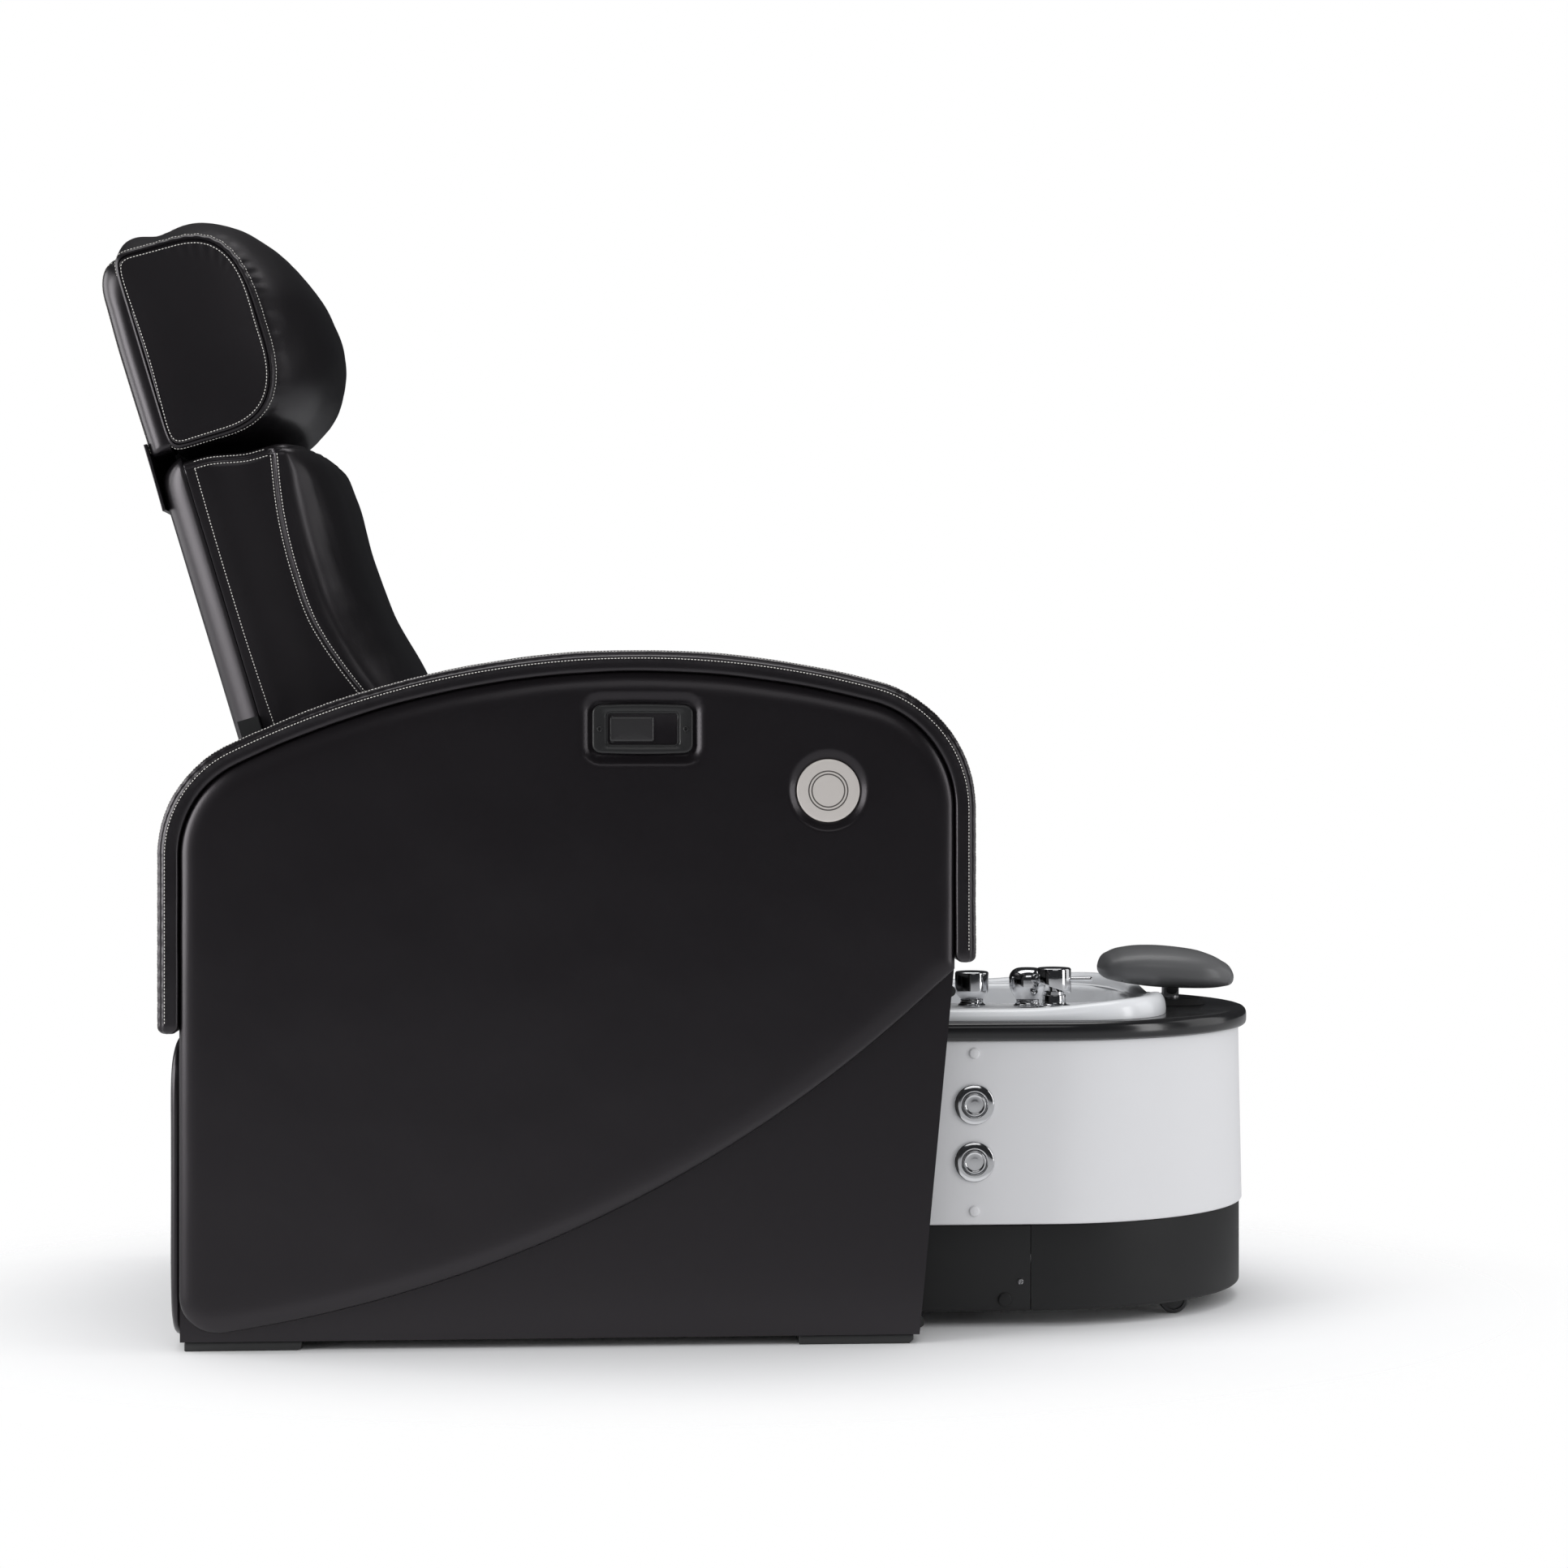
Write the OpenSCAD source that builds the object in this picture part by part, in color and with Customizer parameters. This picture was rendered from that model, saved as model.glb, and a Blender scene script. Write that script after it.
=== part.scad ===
// Pedicure spa chair: a wide upholstered armchair with a reclining back and
// a sliding headrest, and a wheeled foot tub that rolls out from under the seat.
// X points from the back of the chair to the front of the tub, Z is up, and the
// release latch is on the -Y arm. The origin is on the floor, below the middle
// of the whole length.

/* [Arms] */
// Width of the chair over both arm pads
chair_w = 780; // [740:5:840]
// Width of one padded arm
arm_w = 95; // [90:1:105]
// Length of the arms from the rear face to the front face
arm_l = 1007; // [980:1:1040]
// Height of the arm tops above the floor
arm_h = 861; // [840:1:890]
// Radius of the long crown of the arm top
crown_r = 1150; // [1000:10:1400]
// Distance of the crown's highest point from the rear face
crown_at = 591; // [560:1:620]
// Radius of the arm's rear top corner
rear_r = 150; // [110:1:180]
// Radius of the arm's front top corner
front_r = 165; // [120:1:190]
// Height of the knee where the front edge starts to slant back
knee_z = 466; // [440:1:500]
// How far the arm's toe stands behind its knee
toe_back = 43; // [10:1:70]
// Thickness of the plywood panels of the arms
panel_t = 12; // [9:1:15]
// Width of the timber rails inside the arms
rail_w = 30; // [22:1:40]

/* [Arm upholstery] */
// Thickness of the band over the arm top
band_t = 27; // [20:1:34]
// Height of the rear end of the band
band_rear_z = 390; // [340:1:440]
// Height of the front end of the band
band_front_z = 473; // [460:1:520]
// Thickness of the side pads
pad_t = 18; // [12:1:22]
// Radius of the swept lower seam of the side pads
seam_r = 1600; // [1500:10:1800]
// Lowest height of the seam's circle above the floor
seam_low = 9; // [4:1:40]
// Distance of the seam's centre behind the arm
seam_back = 140; // [100:1:160]
// Radius of the lower rear corner of the side pads
pad_corner_r = 46; // [30:1:60]
// Thickness of the padded panel across the rear
rear_pad_t = 14; // [10:1:20]
// Diameter of the turned disc on the latch side
disc_d = 78; // [60:1:90]
// Height of the disc's centre
disc_z = 687; // [670:1:720]
// Distance of the disc's centre behind the front face
disc_from_front = 185; // [160:1:230]

/* [Release latch] */
// Length of the latch bezel
bezel_l = 124; // [116:1:140]
// Height of the latch bezel
bezel_h = 62; // [58:1:74]
// Height of the latch's centre
latch_z = 763; // [745:1:775]
// Distance of the latch's centre from the rear face
latch_at = 593; // [560:1:620]
// Length of the finger cup's mouth
cup_l = 85; // [76:1:92]
// Height of the finger cup's mouth
cup_h = 38; // [34:1:42]
// Length of the paddle
paddle_l = 54; // [44:1:58]

/* [Seat] */
// Height of the seat cushion's crown
seat_z = 600; // [580:1:620]
// Thickness of the seat cushion
seat_t = 116; // [100:1:125]
// Thickness of the seat deck
deck_t = 18; // [12:1:20]
// Length of the seat cushion
seat_l = 625; // [580:1:640]
// Distance from the seat's front to the arms' front face
seat_set_back = 38; // [30:1:80]

/* [Back] */
// Angle of the upright back from the vertical
lean = 16.7; // [12:0.1:20]
// Height of the recline pivot
pivot_z = 560; // [545:1:575]
// Distance of the recline pivot from the rear face
pivot_at = 216; // [205:1:230]
// Gap between the back cushion and each arm
back_gap = 15; // [12:1:30]
// Length of the back cushion's top above the pivot
back_top = 572; // [550:1:580]
// Distance of the back's rear face behind the pivot line
back_rear = 71; // [66:1:76]
// Thickness of the rear shell with its board
shell_t = 36; // [34:1:40]
// Thickness of the back board
board_t = 12; // [9:1:15]
// Diameter of the recliner studs
stud_d = 16; // [12:1:20]

/* [Headrest] */
// Lower edge of the headrest above the pivot, along the back
head_low = 589; // [586:1:600]
// Height of the headrest at its sides, along the back
head_l = 250; // [220:1:270]
// Fullness of the headrest's front over its side seams
head_crown = 72; // [50:1:80]
// Length of the flap below the headrest's rear
flap_l = 68; // [50:1:80]

/* [Tub] */
// Gap between the tub's rim and each arm
tub_gap = 15; // [10:1:30]
// Length of the tub's rim
tub_l = 680; // [650:1:720]
// Length of the half-round nose
nose_l = 295; // [270:1:320]
// Distance of the tub's nose in front of the arms
tub_reach = 404; // [390:1:420]
// Height of the kick panels' lower edge
kick_z = 20; // [14:1:28]
// Height of the joint between kick panels and skirt
skirt_z = 131; // [120:1:140]
// Height of the rim's lower edge
rim_z = 366; // [360:1:375]
// Thickness of the rim
rim_t = 24; // [18:1:26]
// Height of the basin's lip above the rim
lip_h = 15; // [10:1:18]
// How far the skirt stands inside the rim
skirt_in = 9; // [6:1:14]
// How far the kick panels stand inside the rim
kick_in = 14; // [12:1:20]
// Length of the front kick panel
kick_front_l = 321; // [300:1:340]
// Wall of the skirt and kick panels
wall = 4; // [3:0.5:5]
// Wall of the basin
basin_wall = 5; // [4:0.5:6]
// Depth of the bowl below the lip
bowl_depth = 225; // [180:1:240]
// How far the tub rolls out
tub_travel = 265; // [200:1:280]

/* [Wheels] */
// Diameter of the tub's wheels
wheel_d = 38; // [36:1:40]
// Width of the wheels
wheel_w = 16; // [14:1:20]
// Distance of the wheels' middles inside the tub's rim
wheel_in = 105; // [102:1:115]
// Distance of the front wheels behind the tub's nose
wheel_front = 121; // [100:1:150]
// Distance of the rear wheels in front of the tub's rear
wheel_rear = 70; // [50:1:100]
// Diameter of the wheel axles
axle_d = 8; // [6:1:10]

/* [Fittings] */
// Diameter of the push button escutcheons
button_d = 52; // [44:1:56]
// Diameter of the button caps
button_cap_d = 30; // [24:1:34]
// Height of the upper button
button_z = 285; // [270:1:300]
// Spacing of the buttons
button_gap = 73; // [62:1:90]
// Distance of the buttons behind the tub's nose
button_back = 394; // [380:1:396]
// Distance of the mixer behind the tub's nose
mixer_back = 282; // [276:1:288]
// Distance of the mixer inside the tub's rim
mixer_in = 76; // [72:1:80]
// Distance of the spout behind the tub's nose
spout_back = 383; // [378:1:388]
// Distance of the spout inside the tub's rim
spout_in = 128; // [122:1:132]
// Distance of the hand sprayer behind the tub's nose
sprayer_back = 311; // [306:1:316]
// Distance of the hand sprayer inside the tub's rim
sprayer_in = 118; // [112:1:124]
// Diameter of the mixer's body
mixer_d = 44; // [36:1:48]
// Height of the mixer above the deck
mixer_h = 54; // [46:1:60]
// Diameter of the spout's column
spout_d = 44; // [36:1:48]
// Diameter of the hand sprayer
sprayer_d = 48; // [40:1:52]

/* [Foot rest] */
// Length of the foot rest pad
rest_l = 184; // [160:1:190]
// Width of the foot rest pad
rest_w = 130; // [110:1:150]
// Height of the pad's crown above the rim
rest_h = 83; // [76:1:90]
// Distance of the foot rest's post behind the nose
rest_back = 93; // [88:1:98]
// Diameter of the foot rest's post
post_d = 24; // [20:1:28]

/* [Hidden] */

// Clearances: between seated pieces, and round a turning shaft
fit = 0.3;
running = 0.05;

// Main planes of the chair
rear_x = -659;
front_x = rear_x + arm_l;
arm_in = chair_w / 2 - arm_w;
arm_out = chair_w / 2 - pad_t;

// The back and the tub fit between the arms
back_w = 2 * (arm_in - back_gap);
tub_w = 2 * (arm_in - tub_gap);
foot_h = 12;
core_i = band_t + fit;

// ---------------------------------------------------------------- shared forms

// Points of an arc from angle a0 to a1 in n steps, leaving out the first ones
function arc(c, r, a0, a1, n, first = 0) =
    [for (k = [first:n]) let (a = a0 + (a1 - a0) * k / n) c + r * [cos(a), sin(a)]];

// Point of a superellipse with half sizes a and b at angle t
function super(a, b, t, power) =
    [a * sign(cos(t)) * pow(abs(cos(t)), 2 / power),
     b * sign(sin(t)) * pow(abs(sin(t)), 2 / power)];

// Six times the volume that triangles enclose, positive if they face outwards
function volume6(points, faces) =
    let (v = [for (f = faces) cross(points[f[0]], points[f[1]]) * points[f[2]]])
    v * [for (x = v) 1];

// Solid skin over a row of closed loops with equal counts, closed at both ends
module skin(loops) {
    n = len(loops[0]);
    m = len(loops);
    points = [for (loop = loops) each loop];
    walls = [for (i = [0:m - 2], j = [0:n - 1])
        let (a = i * n + j, b = i * n + (j + 1) % n)
        each [[a, b, b + n], [a, b + n, a + n]]];
    cap_fans = [for (j = [1:n - 2], end = [0, 1]) end == 0 ? [0, j + 1, j]
        : [(m - 1) * n, (m - 1) * n + j, (m - 1) * n + j + 1]];
    faces = concat(walls, [[for (j = [n - 1:-1:0]) j], [for (j = [0:n - 1]) (m - 1) * n + j]]);
    inward = volume6(points, concat(walls, cap_fans)) < 0;
    polyhedron(points, inward ? faces : [for (f = faces) [for (k = [len(f) - 1:-1:0]) f[k]]],
        convexity = 6);
}

// Draws a left-hand piece, or its mirror image for the right-hand side
module on_side(side) {
    if (side == "left") children();
    else mirror([0, 1, 0]) children();
}

// Raises an outline in X and Z between two distances from the middle plane
module upright(y0, y1) {
    translate([0, y1, 0]) rotate([90, 0, 0]) linear_extrude(y1 - y0) children();
}

// Plate with round corners, standing in X and Z, centred on the origin
module round_plate(l, h, r, t) {
    upright(0, t) union() {
        square([l - 2 * r, h], center = true);
        square([l, h - 2 * r], center = true);
        for (sx = [-1, 1], sz = [-1, 1])
            translate([sx * (l / 2 - r), sz * (h / 2 - r)]) circle(r, $fn = 32);
    }
}

// Cylinder along Y from y0 to y1
module y_rod(d, y0, y1, n = 48) {
    translate([0, y0, 0]) rotate([-90, 0, 0]) cylinder(d = d, h = y1 - y0, $fn = n);
}

// Cylinder along X from x0 to x1
module x_rod(d, x0, x1) {
    translate([x0, 0, 0]) rotate([0, 90, 0]) cylinder(d = d, h = x1 - x0, $fn = 48);
}

// ------------------------------------------------------------------- arm shape

crown_c = [rear_x + crown_at, arm_h - crown_r];

// Centre of a corner circle that touches the crown from inside
function corner_c(x, r) =
    [x, crown_c.y + sqrt(pow(crown_r - r, 2) - pow(x - crown_c.x, 2))];
rear_c = corner_c(rear_x + rear_r, rear_r);
front_c = corner_c(front_x - front_r, front_r);
rear_a = atan2(rear_c.y - crown_c.y, rear_c.x - crown_c.x);
front_a = atan2(front_c.y - crown_c.y, front_c.x - crown_c.x);

// Arch over the arm, from its rear face to its front face, at an inset
function arch(i) = concat(
    arc(rear_c, rear_r - i, 180, rear_a, 8),
    arc(crown_c, crown_r - i, rear_a, front_a, 12, 1),
    arc(front_c, front_r - i, front_a, 0, 8, 1));

// Outline of the arm's core; up lifts its lower edge
function core(i, up = 0) = concat(
    [[rear_x + i, foot_h + up]], arch(i), [[front_x - i, knee_z]],
    [[front_x - i - toe_back, foot_h + up]]);

seam_c = [rear_x - seam_back, seam_low + seam_r];
pad_x0 = rear_x + core_i;
pad_x1 = front_x - core_i;
pad_c = [pad_x0 + pad_corner_r,
    seam_c.y - sqrt(pow(seam_r - pad_corner_r, 2)
        - pow(pad_x0 + pad_corner_r - seam_c.x, 2))];
pad_a = atan2(pad_c.y - seam_c.y, pad_c.x - seam_c.x);

// Outline of the side pad at an inset from its own edge
function pad_outline(i) =
    let (end_a = -acos((pad_x1 - i - seam_c.x) / (seam_r - i)))
    concat(
        arc(seam_c, seam_r - i, end_a, pad_a, 10),
        arc(pad_c, pad_corner_r - i, pad_a, -180, 4, 1),
        arch(core_i + i));

// ------------------------------------------------------------------- the arms

seat_rail = 25;
deck_z = seat_z - seat_t - deck_t;
tie_z = deck_z - seat_rail;

module arm_frame(side) color("burlywood") on_side(side)
    upright(arm_in + panel_t, arm_out - panel_t) difference() {
        polygon(core(core_i));
        difference() {
            polygon(core(core_i + rail_w, rail_w));
            translate([rear_x, tie_z]) square([arm_l, seat_rail]);
        }
    }

latch_x = rear_x + latch_at;
disc_x = front_x - disc_from_front;
cup_wall = 3;
bezel_t = 5;
disc_t = 6;
screw_d = 3.5;
screw_hole = screw_d + 2 * running;
latch_screw_x = [latch_x - bezel_l / 2 + 9, latch_x + bezel_l / 2 - 9];

// Space that the latch's cup takes through pad and panel
module latch_hole(extra) {
    translate([latch_x, arm_out - panel_t - 1, latch_z])
        round_plate(cup_l + 2 * (cup_wall + extra), cup_h + 2 * (cup_wall + extra), 6,
            panel_t + pad_t + 2);
}

module outer_panel(side) color("#17171a") on_side(side) difference() {
    upright(arm_out - panel_t, arm_out) polygon(core(core_i));
    if (side == "right") {
        latch_hole(fit);
        for (x = latch_screw_x) translate([x, 0, latch_z])
            y_rod(screw_hole, arm_out - panel_t / 2 - 1, arm_out + 1, 32);
    }
}

pivot_x = rear_x + pivot_at;
hub_d = 40;

module inner_panel(side) color("#1c1c1f") on_side(side) difference() {
    upright(arm_in, arm_in + panel_t) polygon(core(core_i));
    translate([pivot_x, 0, pivot_z]) y_rod(hub_d + 2 * fit, arm_in - 1, arm_in + panel_t + 1);
}

// Padded outer face: drawn in at its edge, crowned over its middle
pad_rise = [[0, 3], [0.3, 0], [0.62, 1.5], [0.83, 6], [0.95, 16], [1, 34]];

module side_pad(side) color("#242427") on_side(side) difference() {
    skin([for (p = pad_rise) let (y = arm_out + max(fit, p[0] * pad_t))
        [for (q = pad_outline(p[1])) [q.x, y, q.y]]]);
    if (side == "right") {
        latch_hole(2 * fit);
        translate([latch_x, arm_out + pad_t - bezel_t - 2, latch_z])
            round_plate(bezel_l + 4 * fit, bezel_h + 4 * fit, 11, bezel_t + 4);
        for (x = latch_screw_x) translate([x, 0, latch_z])
            y_rod(screw_hole + 2 * fit, arm_out - 1, arm_out + pad_t, 32);
        translate([disc_x, 0, disc_z]) {
            y_rod(disc_d + 2, arm_out - 1, arm_out + pad_t + 1, 72);
            translate([0, arm_out + pad_t - 5, 0]) rotate([-90, 0, 0])
                cylinder(d1 = disc_d + 2, d2 = disc_d + 44, h = 6, $fn = 72);
        }
    }
}

// Section of the band: share of its thickness, share of its width
band_section = [[0, 0.06], [0, 0.94], [0.3, 1], [0.72, 1], [0.93, 0.93], [1, 0.7],
    [1, 0.3], [0.93, 0.07], [0.72, 0], [0.3, 0]];

// One loop of the band between an inner and an outer point
function band_loop(p, q, thick = 1) =
    [for (s = band_section)
        let (a = 0.5 + (s[0] - 0.5) * thick, o = p + (q - p) * a)
        [o.x, arm_in + (arm_w - 2) * s[1], o.y]];

module arm_band(side) color("#1a1a1d") on_side(side) {
    outer = arch(0);
    inner = arch(band_t);
    last = len(outer) - 1;
    tips = [[0, 0.4], [3, 0.72], [10, 0.95], [20, 1]];
    rear_leg = [for (t = tips) band_loop([rear_x + band_t, band_rear_z + t[0]],
        [rear_x, band_rear_z + t[0]], t[1])];
    front_leg = [for (k = [3:-1:0]) let (t = tips[k])
        band_loop([front_x - band_t, band_front_z + t[0]],
            [front_x, band_front_z + t[0]], t[1])];
    skin(concat(rear_leg, [for (k = [0:last]) band_loop(inner[k], outer[k])], front_leg));
}

module rear_panel() color("#1b1b1e") {
    low = 6;
    high = band_rear_z - 6;
    mid = (low + high) / 2;
    half_h = (high - low) / 2;
    half_w = arm_out - 2;
    steps = [[0, 6], [0.4, 1], [0.7, 4], [0.9, 14], [1, 40]];
    skin([for (s = steps) let (x = rear_x + core_i - max(fit, s[0] * rear_pad_t))
        [for (t = [0:10:350]) let (p = super(half_w - s[1], half_h - s[1], t, 9))
            [x, p.x, mid + p.y]]]);
}

module feet() color("#2b2c2c") {
    foot_l = 143;
    for (side = ["left", "right"], x = [rear_x + 32, front_x - core_i - toe_back - 150])
        on_side(side) upright(arm_in + 6, arm_out - 4)
            polygon([[x, 0], [x + foot_l - 5, 0], [x + foot_l, 5], [x + foot_l, foot_h],
                [x, foot_h]]);
}

bumper_r = 7;

module front_bumpers() color("#101011") {
    slope = atan2(knee_z - foot_h, toe_back);
    for (side = ["left", "right"], z = [foot_h + 12, knee_z - 30]) on_side(side)
        translate([front_x - core_i - toe_back * (knee_z - z) / (knee_z - foot_h), 0, z])
            rotate([0, 90 - slope, 0]) intersection() {
                y_rod(2 * bumper_r, arm_in + 24, arm_out - 18);
                translate([0, arm_in, -bumper_r]) cube([bumper_r, arm_w, 2 * bumper_r]);
            }
}

// ----------------------------------------------------------- latch and disc

latch_face = arm_out + pad_t - 0.5;
pin_d = 4;
barrel_d = 8;
paddle_h = cup_h - 5;
hinge_x = latch_x - cup_l / 2 + barrel_d / 2 + 1;
hinge_y = latch_face - bezel_t - barrel_d / 2;
cup_back = arm_out - panel_t + 4;

module latch_pin() color("silver") on_side("right")
    translate([hinge_x, hinge_y, latch_z - cup_h / 2 - cup_wall + 0.5])
        cylinder(d = pin_d, h = cup_h + 2 * cup_wall - 1, $fn = 32);

module latch_bezel() color("#0d0d0e") on_side("right") difference() {
    union() {
        translate([latch_x, latch_face - bezel_t, latch_z])
            round_plate(bezel_l, bezel_h, 10, bezel_t);
        translate([latch_x, cup_back, latch_z])
            round_plate(cup_l + 2 * cup_wall, cup_h + 2 * cup_wall, 6,
                latch_face - bezel_t - cup_back);
    }
    translate([latch_x, cup_back + cup_wall, latch_z])
        round_plate(cup_l, cup_h, 3, latch_face - cup_back);
    translate([hinge_x, hinge_y, latch_z - cup_h / 2 - cup_wall + 0.5])
        cylinder(d = pin_d, h = cup_h + 2 * cup_wall - 1, $fn = 32);
    for (x = latch_screw_x) translate([x, 0, latch_z])
        y_rod(screw_hole, latch_face - bezel_t - 1, latch_face + 1, 32);
    translate([hinge_x + 10, cup_back - 1, latch_z]) y_rod(5, 0, cup_wall + 2, 32);
}

module latch_screws() color("#3a3a3c") on_side("right")
    for (x = latch_screw_x) translate([x, 0, latch_z]) {
        y_rod(screw_d, arm_out - panel_t / 2, latch_face, 32);
        y_rod(7, latch_face, latch_face + 1.6, 32);
    }

module latch_paddle() color("#151516") on_side("right")
    translate([0, 0, latch_z - paddle_h / 2]) difference() {
        union() {
            translate([hinge_x, hinge_y, 0]) cylinder(d = barrel_d, h = paddle_h, $fn = 40);
            translate([hinge_x, hinge_y, 0]) cube([paddle_l - barrel_d / 2, barrel_d / 2 + 1, paddle_h]);
            translate([hinge_x + paddle_l - barrel_d / 2, hinge_y + barrel_d / 4 + 0.5, 0])
                cylinder(d = barrel_d / 2 + 1, h = paddle_h, $fn = 32);
            translate([hinge_x - 1.5, hinge_y - 11, paddle_h / 2 - 4]) cube([3, 10, 8]);
        }
        translate([hinge_x, hinge_y, -1])
            cylinder(d = pin_d + 2 * running, h = paddle_h + 2, $fn = 32);
    }

// Turned rings of the disc, from its middle outwards: radius and face height
module side_disc() color("#b9babc") on_side("right")
    translate([disc_x, arm_out, disc_z]) rotate([-90, 0, 0]) {
        seat = pad_t - disc_t - 2.5;
        r = disc_d / 2;
        rotate_extrude($fn = 96) polygon([[0, 0], [10, 0], [10, seat], [r, seat],
            [r, seat + disc_t - 2], [r - 2, seat + disc_t], [r - 9, seat + disc_t],
            [r - 11, seat + disc_t - 1.6], [r - 22, seat + disc_t - 2.4],
            [r - 23, seat + disc_t - 1], [r - 26, seat + disc_t - 1],
            [r - 27, seat + disc_t - 2.6], [0, seat + disc_t - 2]]);
    }

cable_d = 5;

// Round tube of n sides through a list of points
module tube(route, d, n) {
    last = len(route) - 1;
    skin([for (k = [0:last])
        let (to = route[min(k + 1, last)] - route[max(k - 1, 0)],
            along = to / norm(to),
            side = cross(along, [0, 1, 0]) / norm(cross(along, [0, 1, 0])),
            up = cross(side, along))
        [for (j = [n - 1:-1:0]) route[k] + d / 2 * (side * cos(j * 360 / n) + up * sin(j * 360 / n))]]);
}

module release_cable() color("#202022") on_side("right") {
    lane = arm_in + arm_w / 2;
    from = [hinge_x + 10, cup_back - 4 * fit, latch_z];
    to = [pivot_x + 14, arm_in + panel_t + 12, pivot_z + 14];
    tube([from, from + [-12, -8, -6], [latch_x - 90, lane, latch_z - 42],
        [(latch_x + pivot_x) / 2, lane, (latch_z + pivot_z) / 2 + 10],
        [pivot_x + 90, lane, pivot_z + 60], to + [14, 6, 12], to], cable_d, 8);
}

// --------------------------------------------------------------- seat and rails

module y_tube(x, z, size) {
    half = arm_in - fit;
    translate([x, -half, z]) difference() {
        cube([size, 2 * half, size]);
        translate([2, -1, 2]) cube([size - 4, 2 * half + 2, size - 4]);
    }
}

base_rail = 30;
sleeve_in = 26;
sleeve_t = 2;
sleeve_y = 150;
sleeve_x0 = rear_x + 100;
sleeve_l = 350;
bar_size = sleeve_in - 1;
base_z = 40;
base_rail_x = [sleeve_x0 + 20, sleeve_x0 + sleeve_l - 50];
seat_x1 = front_x - seat_set_back;
seat_x0 = seat_x1 - seat_l;
deck_x0 = seat_x0 - 70;
deck_x1 = seat_x1 - 14;

module cross_rails() color("#303033") {
    for (x = base_rail_x) y_tube(x, base_z, base_rail);
    for (x = [deck_x0 + 10, (deck_x0 + deck_x1) / 2, deck_x1 - seat_rail - 20])
        y_tube(x, tie_z, seat_rail);
}

// Upholstered board between the arms, above the padded rear panel
module rear_board() color("#1b1b1e")
    translate([rear_x + core_i, -arm_in + fit, band_rear_z - 140])
        cube([panel_t, 2 * (arm_in - fit), tie_z + seat_rail - band_rear_z + 140]);

module slide_sleeves() color("#3a3a3d")
    for (sy = [-1, 1]) translate([sleeve_x0, sy * sleeve_y, base_z + base_rail + sleeve_in / 2 + sleeve_t])
        difference() {
            out = sleeve_in + 2 * sleeve_t;
            translate([0, -out / 2, -out / 2]) cube([sleeve_l, out, out]);
            translate([-1, -sleeve_in / 2, -sleeve_in / 2]) cube([sleeve_l + 2, sleeve_in, sleeve_in]);
        }

module seat_deck() color("burlywood") {
    half = arm_in - fit;
    translate([deck_x0, -half, deck_z]) cube([deck_x1 - deck_x0, 2 * half, deck_t]);
    translate([deck_x1 - deck_t, -half, tie_z]) cube([deck_t, 2 * half, seat_rail + 1]);
}

// Half section of a cushion, from its flat base round to its crown
function cushion_half(half, base, seam, crown) = concat(
    [[half - 5, base], [half - 2, base + (seam - base) * 0.35], [half - 3, base + (seam - base) * 0.7]],
    [for (t = [0:12:84]) [(half - 1) * cos(t), seam + (crown - seam) * pow(sin(t), 0.8)]]);

// Closed section: a half and its mirror image
function cushion_section(half, base, seam, crown) =
    let (h = cushion_half(half, base, seam, crown), n = len(h))
    concat(h, [for (k = [n - 1:-1:0]) [-h[k].x, h[k].y]]);

// Seat stations: share of length from the rear, drop of crown and of the front roll
seat_stations = [[0, 60, 9], [0.012, 30, 4], [0.05, 10, 1], [0.14, 2, 1.5], [0.35, 0, 4],
    [0.6, 0, 4], [0.8, 2, 1.5], [0.92, 7, 1], [0.97, 18, 2], [0.993, 38, 5], [1, 62, 10]];

module seat_cushion() color("#222225") {
    base = deck_z + deck_t + fit;
    skin([for (s = seat_stations)
        let (x = seat_x0 + seat_l * s[0], crown = seat_z - s[1],
            seam = min(crown - 2, seat_z - 26 - s[1] / 2))
        [for (p = cushion_section(arm_in - 3 - s[2], base, seam, crown)) [x, p.x, p.y]]]);
}

// ------------------------------------------------------------ recliner and back

recliner_d = 78;
plate_y0 = arm_in - 19;
plate_y1 = plate_y0 + 8;

module recliner(side) color("#7d7f83") on_side(side)
    translate([pivot_x, 0, pivot_z]) {
        y_rod(recliner_d, arm_in - 5, arm_in - fit, 72);
        y_rod(hub_d - 6, arm_in - 11 + fit, arm_in - 5);
        y_rod(hub_d, arm_in - fit, arm_in + panel_t + 10);
        y_rod(stud_d, plate_y0 - 6, arm_in);
        translate([0, plate_y0 - 8, 0]) y_rod(stud_d + 8, 0, 2);
    }

// Places what is drawn along the back: X forward of it, Z up along it
module along_back() {
    translate([pivot_x, 0, pivot_z]) rotate([0, -lean, 0]) children();
}

shell_x = -back_rear + shell_t;
board_x = shell_x - board_t;
frame_bar = 15;
frame_half = back_w / 2 - 26;
boss_r = 28;
head_board = head_low + head_l - 30;
back_low = 32;

module back_frame() color("#303033") along_back() {
    low_z = 60;
    wing_z = 230;
    top_z = back_top - 40;
    bar_x = board_x - fit - frame_bar;
    for (side = ["left", "right"]) on_side(side) {
        difference() {
            union() {
                y_rod(2 * boss_r, plate_y0, plate_y1, 64);
                upright(plate_y0, plate_y1) polygon([[-boss_r, 0], [-boss_r + 4, -14], [0, 0],
                    [shell_x - 1, boss_r + low_z], [shell_x - 1, wing_z + 10], [bar_x, wing_z + 10],
                    [bar_x, low_z]]);
            }
            y_rod(stud_d + 2 * running, plate_y0 - 1, plate_y1 + 1);
        }
        translate([bar_x, frame_half, low_z]) cube([frame_bar, plate_y0 - frame_half + 1, wing_z - low_z]);
        translate([bar_x, frame_half - frame_bar, low_z])
            cube([frame_bar, frame_bar + 1, top_z + frame_bar - low_z]);
    }
    for (z = [low_z, wing_z, top_z]) translate([bar_x, -frame_half, z])
        cube([frame_bar, 2 * frame_half, frame_bar]);
}

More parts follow.
